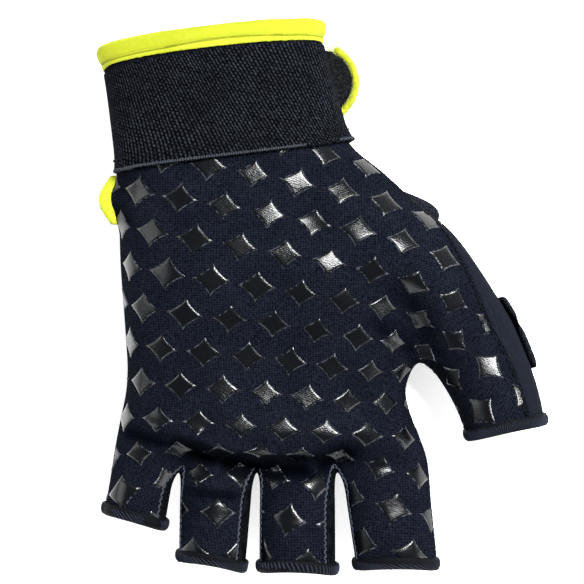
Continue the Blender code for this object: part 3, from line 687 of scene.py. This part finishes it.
def press_folds(points):
    """Press the folds and the cloth's slow sway into points of the palm side, and give each point's
    painted shade in the folds.
    """
    lift, shade = np.zeros(len(points)), np.zeros(len(points))
    flat = points[:, :2]
    for fold in FOLDS:
        start, end = np.array(fold.start), np.array(fold.end)
        along = end - start
        share = np.clip((flat - start) @ along / (along @ along), 0.0, 1.0)
        across = np.array([-along[1], along[0]]) / np.linalg.norm(along)
        across = across if across[1] > 0 else -across
        away = flat - (start + share[:, None] * along)
        distance = np.linalg.norm(away, axis=1) / fold.half_width
        roll = (away @ across) / fold.half_width
        fade = ease(share * 5.0) * ease((1.0 - share) * 5.0) * 0.6 + 0.4
        dip = np.exp(-distance ** 1.5) * fade
        lift -= fold.depth * dip
        shade = np.maximum(shade, dip * min(1.0, fold.depth / FOLD_DARK))
        crown = np.exp(-(roll - ROLL_PLACE) ** 2 - (distance - ROLL_PLACE) ** 2 * 0.5)
        lift += fold.depth * fold.roll * crown * fade
    for pitch, height in SWAY:
        lift += height * np.array([noise.noise(Vector(p) / pitch) for p in points])
    weight = ease((points[:, 2] - FOLD_FLOOR) / FOLD_FADE)
    pressed = points.copy()
    pressed[:, 2] += lift * weight
    return pressed, shade * weight


def add_piece(object_, slot, *nodes):
    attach(object_, BODY)
    if nodes:
        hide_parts(*nodes)
    return object_


def mark_outer(mesh, outer):
    """Keep on each face whether it looks out of the glove."""
    mesh.attributes.new("outer", "BOOLEAN", "FACE").data.foreach_set("value", outer)


PANELS = (
    ("palm_panel", "palm_cloth", "palm", "palm_knit", "front"),
    ("back_panel", "back_cloth", "back", "back_knit", "back"),
    ("thumb_side_panel", "thumb_side_cloth", "twill", "side_twill", "front"),
    ("gusset_little_ring", "little_ring_gusset", "gusset", "gusset_knit", "edge"),
    ("gusset_ring_middle", "ring_middle_gusset", "gusset", "gusset_knit", "edge"),
    ("gusset_middle_index", "middle_index_gusset", "gusset", "gusset_knit", "edge"),
)
BANDS = (
    ("wrist_strap", "strap", "elastic", "elastic"),
    ("cuff_binding", "cuff_tape", "cuff", "bright_tape"),
    ("hem_little", "little_hem", "dark", "hem_thread"),
    ("hem_ring", "ring_hem", "dark", "hem_thread"),
    ("hem_middle", "middle_hem", "dark", "hem_thread"),
    ("hem_index", "index_hem", "dark", "hem_thread"),
    ("hem_thumb", "thumb_hem", "dark", "hem_thread"),
)


def make_panels():
    """The cloth panels with their folds pressed in."""
    made = {}
    for node, name, look, slot, side in PANELS:
        piece = smooth_copy(node, name, SMOOTHING, CREASE, side)
        settle(piece, MATERIALS[look])
        if node != "back_panel":
            points, shade = press_folds(mesh_points(piece.data))
            set_points(piece.data, points)
            # Keep the folds' painted shade on the mesh for the knit
            piece.data.attributes.new("shade", "FLOAT", "POINT").data.foreach_set("value", shade)
        made[node] = add_piece(piece, slot, node)
    return made


def band_frame(mesh):
    """A ring-shaped band's axis towards the cuff, and its centre line along that axis."""
    walls = [polygon for polygon in mesh.polygons if abs(polygon.normal.y) < 0.5]
    normals = np.array([wall.normal[:] for wall in walls])
    areas = np.array([wall.area for wall in walls])
    _, ways = np.linalg.eigh((normals * areas[:, None]).T @ normals)
    axis = ways[:, 0] if ways[1, 0] > 0 else -ways[:, 0]
    points = mesh_points(mesh)
    slope = np.polyfit(points @ axis, points, 1)
    return axis, lambda place: place[:, None] * slope[0] + slope[1]


def band_outside(mesh, axis, centre):
    """For each face of a band, whether it is on the outside, with nothing of the band over it."""
    tree = BVHTree.FromPolygons(
        [vertex.co for vertex in mesh.vertices], [face.vertices[:] for face in mesh.polygons]
    )
    outer = []
    for polygon in mesh.polygons:
        middle = np.array([polygon.center[:]])
        away = (middle - centre(middle @ axis))[0]
        faces_out = np.array(polygon.normal[:]) @ away > 0.1 * np.linalg.norm(away)
        start = polygon.center + polygon.normal * 1e-5
        covered = tree.ray_cast(start, polygon.normal, BAND_REACH)[0] is not None
        outer.append(bool(faces_out and not covered))
    return outer


def wrap_map(object_):
    """A band's surface map: u runs round it and v up from its lower edge.

    The cut in the map lies underneath. Returns how long u is round the band. That is in metres
    on the strap, but longer than the way round on the cuff and the hems, whose weave, ribs and
    stitches lie closer than their pitches say.
    """
    mesh = object_.data
    axis, centre = band_frame(mesh)
    across = np.cross(axis, [0.0, 0.0, 1.0])
    across /= np.linalg.norm(across)
    up = np.cross(across, axis)
    points = mesh_points(mesh)
    along = points @ axis
    away = points - centre(along)
    turn, radius = np.arctan2(away @ across, away @ up), np.hypot(away @ across, away @ up)
    outer = band_outside(mesh, axis, centre)
    mark_outer(mesh, outer)
    lit, covered = np.zeros(len(points), bool), np.zeros(len(points), bool)
    for polygon, out in zip(mesh.polygons, outer):
        (lit if out else covered)[list(polygon.vertices)] = True

    circle = 2.0 * math.pi
    stops = np.linspace(-math.pi, math.pi, BAND_STOPS)
    bins = np.digitize(turn[lit], stops) - 1
    used = sorted(set(bins))
    middles = [turn[lit][bins == k].mean() for k in used]
    reach = np.interp(stops, middles, [radius[lit][bins == k].mean() for k in used], period=circle)
    outline = reach[:, None] * np.stack([np.sin(stops), np.cos(stops)], axis=1)
    steps = np.linalg.norm(np.diff(outline, axis=0), axis=1)
    arc = np.concatenate([[0.0], np.cumsum(steps)])
    basis = np.stack([np.ones(len(points)), np.sin(turn), np.cos(turn)], axis=1)
    level = basis @ np.linalg.lstsq(basis[lit], along[lit], rcond=None)[0]
    edge = np.flatnonzero(lit & covered & (along < level))
    gap = np.abs((turn[edge][:, None] - turn[edge] + math.pi) % circle - math.pi)
    floor = np.where(gap < EDGE_SPAN, along[edge], np.inf).min(axis=1)
    edge = edge[along[edge] < floor + EDGE_RISE]
    low = np.interp(turn, turn[edge], along[edge], period=circle)

    layer = mesh.uv_layers.new(name="cloth").data
    for polygon in mesh.polygons:
        corners = list(polygon.vertices)
        for loop, corner in zip(polygon.loop_indices, corners):
            lap = round((turn[corners[0]] - turn[corner]) / circle)
            u = np.interp(turn[corner], stops, arc) + lap * arc[-1]
            layer[loop].uv = (u, along[corner] - low[corner])
    mesh.update()
    return arc[-1]


def make_bands():
    """The strap, the cuff's tape and the hems, each with its map round the band."""
    made = {}
    for node, name, look, slot in BANDS:
        piece = smooth_copy(node, name, 0, BAND_CREASE)
        girth = wrap_map(piece)
        soften(piece, SMOOTHING + (node == "cuff_binding"))
        settle(piece, MATERIALS[look])
        points, _ = press_folds(mesh_points(piece.data))
        if node == "cuff_binding":
            points = pucker(piece.data, points)
        set_points(piece.data, points)
        made[node] = add_piece(piece, slot, node)
        piece["girth"] = girth
    return made


def pucker(mesh, points):
    """Draw the cuff's tape in along its stitches, and let the cloth between them swell."""
    layer = mesh.uv_layers["cloth"].data
    flat = np.zeros((len(points), 2))
    for loop in mesh.loops:
        flat[loop.vertex_index] = layer[loop.index].uv[:]
    groove = np.exp(-(((flat[:, 1] - CUFF_LINE) / CUFF_GROOVE) ** 2))
    lumps = np.array([noise.noise(Vector((u / CUFF_LUMP, v / CUFF_LUMP, 0.0))) for u, v in flat])
    return points + mesh_normals(mesh) * (lumps * PUCKER - groove * CUFF_SINK)[:, None]


# Patterns laid on the cloth


class Pattern(Nodes):
    """A geometry tree with a socket of its own for each size."""

    def __init__(self, name, sockets):
        super().__init__(bpy.data.node_groups.new(name, "GeometryNodeTree"))
        sides = self.tree.interface
        sides.new_socket("Geometry", in_out="OUTPUT", socket_type="NodeSocketGeometry")
        for label, kind in sockets.items():
            sides.new_socket(label, in_out="INPUT", socket_type="NodeSocket" + kind)
        given = self.node("NodeGroupInput")
        self.given = {label: given.outputs[label] for label in sockets}

    def size(self, label):
        return Value(self, self.given[label])

    def geometry_of(self, label):
        return self.link("GeometryNodeObjectInfo", (), {"Object": self.given[label]}, "Geometry")

    def place(self):
        return self.link("GeometryNodeInputPosition")

    def kept(self, name, kind):
        """A value kept on the mesh under a name."""
        return self.link("GeometryNodeInputNamedAttribute", {"data_type": kind}, {"Name": name})

    def chance(self, low, high, seed):
        inputs = {"Min": low, "Max": high, "Seed": seed}
        return self.value("FunctionNodeRandomValue", {"data_type": "FLOAT"}, inputs, "Value")

    def moved(self, geometry, **inputs):
        return self.link("GeometryNodeSetPosition", (), {"Geometry": geometry, **inputs})

    def realized(self, instances):
        return self.link("GeometryNodeRealizeInstances", (), {"Geometry": instances})

    def outer_cloth(self):
        sockets = {"Geometry": self.geometry_of("Cloth"), "Selection": self.kept("outer", "BOOLEAN")}
        return self.link("GeometryNodeSeparateGeometry", {"domain": "FACE"}, sockets)

    def finish(self, geometry):
        sockets = {"Geometry": geometry, "Material": self.given["Material"]}
        done = self.link("GeometryNodeSetMaterial", (), sockets)
        self.node("NodeGroupOutput", (), {"Geometry": done})
        return self.tree

    def lay_on(self, flat):
        """Wrap what is drawn in the map's x and y, with z as its height, round the cloth."""
        x, y, height = self.parts(self.place())
        sockets = {
            "Mesh": self.outer_cloth(),
            "UV Map": self.kept("cloth", "FLOAT_VECTOR"),
            "Sample UV": self.vector(x, y, 0.0),
        }
        read = []
        for field in (self.place(), self.link("GeometryNodeInputNormal")):
            settings = {"data_type": "FLOAT_VECTOR"}
            read.append(
                self.node("GeometryNodeSampleUVSurface", settings, {**sockets, "Value": field})
            )
        missed = 1.0 - Value(self, read[0].outputs["Is Valid"])
        held = self.link(
            "GeometryNodeDeleteGeometry", {"domain": "POINT"}, {"Geometry": flat, "Selection": missed}
        )
        outwards = self.arrow("NORMALIZE", read[1].outputs["Value"])
        spot = self.arrow("ADD", read[0].outputs["Value"], self.scaled(outwards, height))
        return self.finish(self.moved(held, Position=spot))


ON_CLOTH = {"Cloth": "Object", "Material": "Material"}


def print_pattern():
    """Staggered rows of raised lozenges with hollow sides and sunk borders."""
    pattern = Pattern("grip_prints", {
        **ON_CLOTH, "Centre": "Vector", "Turn": "Float", "Pitch X": "Float", "Pitch Y": "Float",
        "Columns": "Int", "Rows": "Int", "Width": "Float", "Height": "Float", "Lift": "Float",
        "Sink": "Float", "Top": "Float", "Top Slope": "Float",
    })
    across, down = pattern.size("Pitch X"), pattern.size("Pitch Y")
    field = pattern.link("GeometryNodeMeshGrid", (), {
        "Size X": (pattern.size("Columns") - 1.0) * across,
        "Size Y": (pattern.size("Rows") - 1.0) * down,
        "Vertices X": pattern.size("Columns"), "Vertices Y": pattern.size("Rows"),
    })
    x, y, _ = pattern.parts(pattern.place())
    row = (y / down + 0.25).whole()
    odd = (row * 0.5).fraction() * 2.0
    turned = pattern.link("ShaderNodeVectorRotate", {"rotation_type": "Z_AXIS"}, {
        "Vector": pattern.vector(x + odd * across * 0.5, y, 0.0), "Angle": pattern.size("Turn"),
    })
    spots = pattern.moved(field, Position=pattern.arrow("ADD", turned, pattern.given["Centre"]))
    sides = PRINT_CELLS + 1
    sheet = pattern.link("GeometryNodeMeshGrid", (), {
        "Size X": 2.0, "Size Y": 2.0, "Vertices X": sides, "Vertices Y": sides,
    })
    a, b, _ = pattern.parts(pattern.place())
    a, b = (
        side.math("SIGN") * (1.0 - (1.0 - side.size().at_most(1.0)) ** PRINT_CROWD) for side in (a, b)
    )
    p, q = (a - b) * 0.5, (a + b) * 0.5
    plain = p.size() + q.size()
    waisted = (p.size() ** PRINT_WAIST + q.size() ** PRINT_WAIST) ** (1.0 / PRINT_WAIST)
    pull = plain / waisted.at_least(0.001)
    edge = a.size().at_least(b.size())
    raised = (1.0 - edge).ramp(0.0, PRINT_BORDER)
    height = raised * (pattern.size("Lift") + pattern.size("Sink")) - pattern.size("Sink")
    shaped = pattern.vector(
        p * pull * pattern.size("Width") * 0.5, q * pull * pattern.size("Height") * 0.5, height
    )
    # Each point's nearness to the border, kept as rim for the prints' painted highlight
    kept = pattern.link("GeometryNodeStoreNamedAttribute", {"data_type": "FLOAT"}, {
        "Geometry": sheet, "Name": "rim", "Value": edge,
    })
    motif = pattern.moved(kept, Position=shaped)
    size = pattern.chance(*PRINT_SIZES, 3)
    swing = pattern.chance(-PRINT_SWING, PRINT_SWING, 5)
    prints = pattern.link("GeometryNodeInstanceOnPoints", (), {
        "Points": spots, "Instance": motif,
        "Rotation": pattern.vector(0.0, 0.0, pattern.size("Turn") + swing),
        "Scale": pattern.vector(size, size, 1.0),
    })
    laid = pattern.realized(prints)
    x, y, _ = pattern.parts(pattern.place())
    covered = (y - x * pattern.size("Top Slope")).above(pattern.size("Top"))
    bared = pattern.link("GeometryNodeDeleteGeometry", {"domain": "POINT"}, {
        "Geometry": laid, "Selection": covered,
    })
    pattern.lay_on(bared)
    return pattern


def thread_pattern():
    """A round thread that sways from side to side of its line."""
    pattern = Pattern("swaying_thread", {
        **ON_CLOTH, "Line": "Object", "Radius": "Float", "Wave": "Float", "Pitch": "Float",
    })
    radius = pattern.size("Radius")
    fine = pattern.link("GeometryNodeResampleCurve", {"mode": "LENGTH"}, {
        "Curve": pattern.geometry_of("Line"), "Length": pattern.size("Pitch") / 8.0,
    })
    length = pattern.value("GeometryNodeSplineParameter", (), (), "Length")
    side = pattern.arrow(
        "CROSS_PRODUCT", pattern.link("GeometryNodeInputTangent"), (0.0, 0.0, 1.0)
    )
    sway = (length / pattern.size("Pitch") * (2.0 * math.pi)).sine() * pattern.size("Wave")
    lifted = pattern.arrow("ADD", pattern.scaled(side, sway), pattern.vector(0.0, 0.0, radius * 0.6))
    circle = pattern.link("GeometryNodeCurvePrimitiveCircle", (), {"Resolution": 6, "Radius": radius})
    tube = pattern.link("GeometryNodeCurveToMesh", (), {
        "Curve": pattern.moved(fine, Offset=lifted), "Profile Curve": circle, "Fill Caps": True,
    })
    pattern.lay_on(tube)
    return pattern


def stitch_pattern():
    """Short threads set along a line, each turned from it by an angle."""
    pattern = Pattern("stitches", {
        **ON_CLOTH, "Line": "Object", "Pitch": "Float", "Length": "Float", "Radius": "Float",
        "Turn": "Float", "Lift": "Float", "Stray": "Float",
    })
    radius = pattern.size("Radius")
    spots = pattern.link("GeometryNodeResampleCurve", {"mode": "LENGTH"}, {
        "Curve": pattern.geometry_of("Line"), "Length": pattern.size("Pitch"),
    })
    x, y, _ = pattern.parts(pattern.link("GeometryNodeInputTangent"))
    stray = pattern.chance(-1.0, 1.0, 7) * pattern.size("Stray")
    angle = y.math("ARCTAN2", x) + pattern.size("Turn") + stray
    ball = pattern.link("GeometryNodeMeshUVSphere", (), {"Segments": 6, "Rings": 6, "Radius": 1.0})
    spindle = pattern.link("GeometryNodeTransform", (), {
        "Geometry": ball, "Rotation": (0.0, math.pi / 2, 0.0),
        "Scale": pattern.vector(radius, radius, pattern.size("Length") * 0.5),
    })
    raised = pattern.link("GeometryNodeTransform", (), {
        "Geometry": spindle, "Translation": pattern.vector(0.0, 0.0, pattern.size("Lift")),
    })
    rows = pattern.link("GeometryNodeInstanceOnPoints", (), {
        "Points": spots, "Instance": raised, "Rotation": pattern.vector(0.0, 0.0, angle),
        "Scale": pattern.chance(0.88, 1.12, 9).socket,
    })
    pattern.lay_on(pattern.realized(rows))
    return pattern


def fuzz_pattern():
    """Small open loops of thread scattered over a piece, leaning every way."""
    pattern = Pattern("fuzz", {
        **ON_CLOTH, "Density": "Float", "Loop": "Float", "Radius": "Float", "Sweep": "Float",
        "Stray": "Float",
    })
    scatter = pattern.node("GeometryNodeDistributePointsOnFaces", (), {
        "Mesh": pattern.outer_cloth(), "Density": pattern.size("Density"), "Seed": 11,
    })
    arc = pattern.link("GeometryNodeCurveArc", (), {
        "Resolution": 7, "Radius": pattern.size("Loop"), "Sweep Angle": pattern.size("Sweep"),
    })
    circle = pattern.link("GeometryNodeCurvePrimitiveCircle", (), {
        "Resolution": 4, "Radius": pattern.size("Radius"),
    })
    hair = pattern.link("GeometryNodeCurveToMesh", (), {"Curve": arc, "Profile Curve": circle})
    upright = pattern.link("GeometryNodeTransform", (), {
        "Geometry": hair, "Rotation": (math.pi / 2, 0.0, 0.0),
    })
    stray = pattern.size("Stray")
    lean = pattern.arrow("ADD", find_socket(scatter.outputs, "Normal"), pattern.vector(
        *(pattern.chance(-1.0, 1.0, seed) * stray for seed in (21, 22, 23))
    ))
    stood = pattern.link("FunctionNodeAlignRotationToVector", {"axis": "Z"}, {"Vector": lean})
    spun = pattern.link("FunctionNodeRotateRotation", {"rotation_space": "LOCAL"}, {
        "Rotation": stood, "Rotate By": pattern.vector(0.0, 0.0, pattern.chance(0.0, 6.28, 24)),
    })
    tufts = pattern.link("GeometryNodeInstanceOnPoints", (), {
        "Points": find_socket(scatter.outputs, "Points"), "Instance": upright, "Rotation": spun,
        "Scale": pattern.chance(0.6, 1.25, 25).socket,
    })
    pattern.finish(pattern.realized(tufts))
    return pattern


def draw(pattern, name, slot, look, **values):
    """Run a pattern with its sizes, and keep what it makes as a plain mesh."""
    piece = plain_object(name, bpy.data.meshes.new(name))
    maker = piece.modifiers.new("pattern", "NODES")
    maker.node_group = pattern.tree
    values = {key.replace("_", " "): value for key, value in values.items()}
    values["Material"] = MATERIALS[look]
    for item in pattern.tree.interface.items_tree:
        if item.in_out == "INPUT":
            maker[item.identifier] = values[item.name]
    settle(piece, MATERIALS[look])
    return add_piece(piece, slot)


def map_line(name, runs):
    """Lines drawn in a surface map, for a pattern to follow."""
    curve = bpy.data.curves.new(name, "CURVE")
    curve.dimensions = "3D"
    for run in runs:
        spline = curve.splines.new("POLY")
        spline.points.add(len(run) - 1)
        for point, spot in zip(spline.points, run):
            point.co = (spot[0], spot[1], 0.0, 1.0)
    return plain_object(name, curve)


def border_runs(piece, beside, inset, keep=lambda spot: True):
    """Lines in a panel's map along its border with a neighbour, a little in from the edge."""
    mesh = piece.data
    outer = np.zeros(len(mesh.polygons), bool)
    mesh.attributes["outer"].data.foreach_get("value", outer)
    layer = mesh.uv_layers["cloth"].data
    sides = {}
    for polygon in mesh.polygons:
        for key in polygon.edge_keys:
            sides.setdefault(key, []).append(polygon)
    tree = BVHTree.FromPolygons(
        [v.co for v in beside.data.vertices], [p.vertices[:] for p in beside.data.polygons]
    )
    flat, inward, links = {}, {}, {}
    for (a, b), faces in sides.items():
        lit = [face for face in faces if outer[face.index]]
        if len(lit) != 1 or len(faces) != 2:
            continue
        ends = [mesh.vertices[k].co for k in (a, b)]
        near = all((tree.find_nearest(end)[3] or 1.0) < BESIDE for end in ends)
        if not near or not all(keep(end) for end in ends):
            continue
        here = {mesh.loops[k].vertex_index: np.array(layer[k].uv[:]) for k in lit[0].loop_indices}
        middle = sum(here.values()) / len(here)
        run = here[b] - here[a]
        step = np.array([-run[1], run[0]]) / max(np.linalg.norm(run), 1e-9)
        step = step if (middle - here[a]) @ step > 0 else -step
        for key in (a, b):
            flat[key] = here[key]
            inward[key] = inward.get(key, 0.0) + step
        links.setdefault(a, []).append(b)
        links.setdefault(b, []).append(a)
    runs, seen = [], set()
    starts = sorted(links, key=lambda key: (len(links[key]) != 1, key))
    for start in starts:
        if start in seen:
            continue
        run, here = [], start
        while here is not None:
            seen.add(here)
            step = inward[here] / max(np.linalg.norm(inward[here]), 1e-9)
            run.append(flat[here] + step * inset)
            here = next((key for key in links[here] if key not in seen), None)
        if len(run) > 3:
            runs.append(run)
    return runs


def band_runs(piece, height):
    """A line round a band, at a height above its lower edge."""
    girth = piece["girth"]
    count = max(int(girth / BAND_STEP), 8)
    return [[(girth * k / count, height) for k in range(count + 1)]]


# The pieces

panels = make_panels()
bands = make_bands()
PRINTS = print_pattern()
THREAD = thread_pattern()
STITCHES = stitch_pattern()
FUZZ = fuzz_pattern()


def make_prints():
    columns, rows = PRINT_COUNT
    draw(
        PRINTS, "grip_prints", "palm_knit", "print", Cloth=panels["palm_panel"],
        Centre=PRINT_CENTRE, Turn=PRINT_TURN, Pitch_X=PRINT_PITCH[0], Pitch_Y=PRINT_PITCH[1],
        Columns=columns, Rows=rows, Width=PRINT_SIZE[0], Height=PRINT_SIZE[1],
        Lift=PRINT_LIFT, Sink=PRINT_SINK, Top=PRINT_TOP, Top_Slope=PRINT_TOP_SLOPE,
    )


def sew_stitches(name, slot, look, cloth, runs, row):
    """A row of stitches along lines in a cloth's map."""
    line = map_line(name + "_line", runs)
    draw(STITCHES, name, slot, look, Cloth=cloth, Line=line, Pitch=row.pitch, Length=row.length,
         Radius=row.radius, Turn=row.turn, Lift=row.lift, Stray=row.stray)
    bpy.data.objects.remove(line)


def sew_thread(name, slot, look, cloth, runs, radius, sway):
    """A swaying thread along lines in a cloth's map."""
    line = map_line(name + "_line", runs)
    draw(THREAD, name, slot, look, Cloth=cloth, Line=line, Radius=radius, Wave=sway,
         Pitch=SEAM_PITCH)
    bpy.data.objects.remove(line)


def make_seams():
    """Overlock thread beside the finger gussets, with a tick at each bite of the needle."""
    palm = panels["palm_panel"]
    runs = []
    for node in ("gusset_little_ring", "gusset_ring_middle", "gusset_middle_index"):
        runs += border_runs(palm, panels[node], SEAM_INSET)
    sew_thread("finger_seams", "palm_knit", "seam", palm, runs, THREAD_RADIUS, SEAM_WAVE)
    sew_stitches("finger_seam_ticks", "palm_knit", "seam", palm, runs, SEAM_TICKS)
    right, low = INDEX_SEAM_REACH
    runs = border_runs(
        palm, panels["back_panel"], SEAM_INSET * 0.6, lambda spot: spot.x > right and spot.y < low
    )
    sew_thread(
        "index_seam", "palm_knit", "seam", palm, runs, THREAD_RADIUS * 0.8, SEAM_WAVE * 0.3
    )


def make_thumb_stitches():
    """Dark ladder stitches along the seam between the palm and the thumb's side strip."""
    palm = panels["palm_panel"]
    runs = border_runs(
        palm, panels["thumb_side_panel"], LADDER_INSET, lambda spot: spot.y < LADDER_TOP
    )
    sew_stitches("thumb_ladder_stitches", "side_twill", "dark", palm, runs, LADDER)


def make_band_stitches():
    """Oblique overlock threads round each hem, and the rows round the strap and the cuff."""
    for node, piece in bands.items():
        if node.startswith("hem"):
            runs = band_runs(piece, HEM_MIDDLE)
            sew_stitches(piece.name + "_ribs", "hem_thread", "hem", piece, runs, HEM_RIBS)
    strap, cuff = bands["wrist_strap"], bands["cuff_binding"]
    for name, slot, look, band, height, row in (
        ("strap_piping", "elastic", "piping", strap, PIPING_HEIGHT, PIPING),
        ("strap_stitches", "elastic", "dark", strap, STRAP_STITCH_HEIGHT, STRAP_ROW),
        ("cuff_stitches", "bright_tape", "stitch", cuff, CUFF_LINE, CUFF_ROW),
    ):
        sew_stitches(name, slot, look, band, band_runs(band, height), row)


# The tab and the edgings, each with its fuzz: how many loops to a square metre, a loop's radius
# and its thread's, how far round it goes, and how much it strays
Trim = namedtuple("Trim", "node name look slot fuzz density loop radius sweep stray")
TRIM = (
    Trim("strap_tab", "tab", "pile", "loop_pile",
         "tab_loops", 1.6e6, 0.00042, 0.00009, math.radians(200), 0.8),
    Trim("tab_binding", "tab_edging", "neon", "bright_tape",
         "tab_fluff", 4.0e6, 0.00055, 0.00005, math.radians(150), 1.2),
    Trim("vent_binding", "vent_edging", "neon", "bright_tape",
         "vent_fluff", 2.0e6, 0.00022, 0.00004, math.radians(170), 0.9),
)


def make_trim():
    """The tab with its pile, and both edgings with their fluff."""
    made = {}
    for kind in TRIM:
        piece = smooth_copy(kind.node, kind.name, 0, TRIM_CREASE)
        piece.data.uv_layers.new(name="cloth")
        mark_outer(piece.data, [True] * len(piece.data.polygons))
        soften(piece, SMOOTHING)
        settle(piece, MATERIALS[kind.look])
        flat = mesh_points(piece.data)
        if kind.node == "vent_binding":
            side, middle = flat[:, 0].min(), flat[:, 1].mean()
            flat[:, 0] = side + (flat[:, 0] - side) * VENT_REACH[0]
            flat[:, 1] = middle + (flat[:, 1] - middle) * VENT_REACH[1]
            set_points(piece.data, flat)
        for loop in piece.data.loops:
            piece.data.uv_layers["cloth"].data[loop.index].uv = flat[loop.vertex_index][:2]
        made[kind.node] = add_piece(piece, kind.slot, kind.node)
    for kind in TRIM:
        draw(FUZZ, kind.fuzz, kind.slot, kind.look, Cloth=made[kind.node], Density=kind.density,
             Loop=kind.loop, Radius=kind.radius, Sweep=kind.sweep, Stray=kind.stray)
    return made


# Loose threads at the tab's ends: from, to, how far they may stray, and how many
STRANDS = (
    ((0.0022, 0.0935), (0.0086, 0.0880), 0.0016, 16),
    ((0.0030, 0.0905), (0.0100, 0.0850), 0.0012, 12),
    ((0.0086, 0.0700), (0.0082, 0.0640), 0.0009, 9),
)


def make_strands(beside):
    """Frayed threads of the edging, each a thin wavering line."""
    level = mesh_points(beside.data)[:, 2].mean()
    curve = bpy.data.curves.new("strands", "CURVE")
    curve.dimensions = "3D"
    curve.bevel_depth = STRAND_RADIUS
    curve.bevel_resolution = 1
    for group, (start, end, stray, count) in enumerate(STRANDS):
        for k in range(count):
            spline = curve.splines.new("POLY")
            spline.points.add(STRAND_TURNS - 1)
            for step, point in enumerate(spline.points):
                share = step / (STRAND_TURNS - 1)
                place = (share * STRAND_WAVES, STRAND_APART * k + STRAND_GROUPS_APART * group)
                wander = [noise.noise(Vector((*place, axis))) for axis in (0, 5, 9)]
                x, y = (a + (b - a) * share + w * stray * 2.0 for a, b, w in zip(start, end, wander))
                point.co = (x, y, level + wander[2] * stray, 1.0)
    piece = plain_object("frayed_strands", curve)
    graph = bpy.context.evaluated_depsgraph_get()
    mesh = bpy.data.meshes.new_from_object(piece.evaluated_get(graph))
    bpy.data.objects.remove(piece)
    mesh.materials.clear()
    mesh.materials.append(MATERIALS["strand"])
    add_piece(plain_object("frayed_strands", mesh), "bright_tape")


# Each pad's name and how full it is
PADS = (("hand_back_pad", "back_pad", 0.6), ("thumb_back_pad", "thumb_pad", 0.7))


def make_pads():
    """The foam pads on the back: crowned cloth, drawn in along plain sewn channels."""
    for node, name, fill in PADS:
        piece = smooth_copy(node, name, SMOOTHING, PAD_CREASE)
        settle(piece, MATERIALS["pad"])
        points = mesh_points(piece.data)
        away = ((points[:, 1] / CHANNEL_PITCH) % 1.0 - 0.5) * CHANNEL_PITCH
        sink = CHANNEL_DEPTH * np.exp(-((away / CHANNEL_WIDTH) ** 2))
        set_points(piece.data, points - mesh_normals(piece.data) * sink[:, None])
        add_piece(piece, "pad_cloth", node)


# The fields of a sheet of cloth: width, length and flat area in metres, how it is held, and what it
# rests on
Sheet = namedtuple("Sheet", "width length area held rests_on")


make_prints()
make_seams()
make_thumb_stitches()
make_band_stitches()
trim = make_trim()
make_strands(trim["tab_binding"])
make_pads()


# Floor, light and camera


def make_stage():
    floor_mesh = bpy.data.meshes.new("floor")
    half = FLOOR_HALF
    corners = [(-half, -half, 0.0), (half, -half, 0.0), (half, half, 0.0), (-half, half, 0.0)]
    floor_mesh.from_pydata(corners, [], [(0, 1, 2, 3)])
    floor_mesh.materials.append(plain_floor())
    floor = plain_object("floor", floor_mesh)
    floor.location.z = -FLOOR_DROP


Lamp = namedtuple("Lamp", "name place size power")
LAMPS = (
    Lamp("softbox", (0.42, 0.48, 1.20), (0.34, 0.46), 46.0),
    Lamp("left", (-1.50, 0.30, 0.75), (0.9, 0.9), 10.0),
    Lamp("right", (1.45, -0.45, 0.60), (0.8, 0.8), 14.0),
    Lamp("foot", (-0.20, -1.50, 0.70), (1.0, 0.7), 8.0),
)


def make_lamps():
    for lamp in LAMPS:
        light = bpy.data.lights.new(lamp.name, "AREA")
        light.shape = "RECTANGLE"
        light.size, light.size_y = lamp.size
        light.energy = lamp.power
        lit = bpy.data.objects.new(lamp.name, light)
        lit.location = lamp.place
        aim = Vector(LAMP_AIM) - Vector(lamp.place)
        lit.rotation_euler = aim.to_track_quat("-Z", "Y").to_euler()
        bpy.context.scene.collection.objects.link(lit)


def make_sky():
    """A studio that is bright round the walls and dark overhead."""
    world = bpy.data.worlds.new("studio")
    world.use_nodes = True
    nodes = Nodes(world.node_tree)
    backdrop = world.node_tree.nodes["Background"]
    _, _, height = nodes.parts(nodes.link("ShaderNodeTexCoord", (), (), "Generated"))
    bright = SKY_LOW + height.ramp(0.15, 0.75) * (SKY_TOP - SKY_LOW)
    nodes.feed(backdrop.inputs["Strength"], bright)
    backdrop.inputs["Color"].default_value = (1.0, 1.0, 1.0, 1.0)
    bpy.context.scene.world = world
    bpy.context.scene.view_settings.view_transform = "Standard"


def make_camera():
    lens = bpy.data.cameras.new("camera")
    lens.sensor_width = SENSOR
    lens.lens = SENSOR * VIEW_DISTANCE / (IMAGE_SIDE * PIXEL)
    camera = bpy.data.objects.new("camera", lens)
    camera.location = (*VIEW_CENTRE, VIEW_LEVEL + VIEW_DISTANCE)
    bpy.context.scene.collection.objects.link(camera)
    bpy.context.scene.camera = camera


make_stage()
make_lamps()
make_sky()
make_camera()
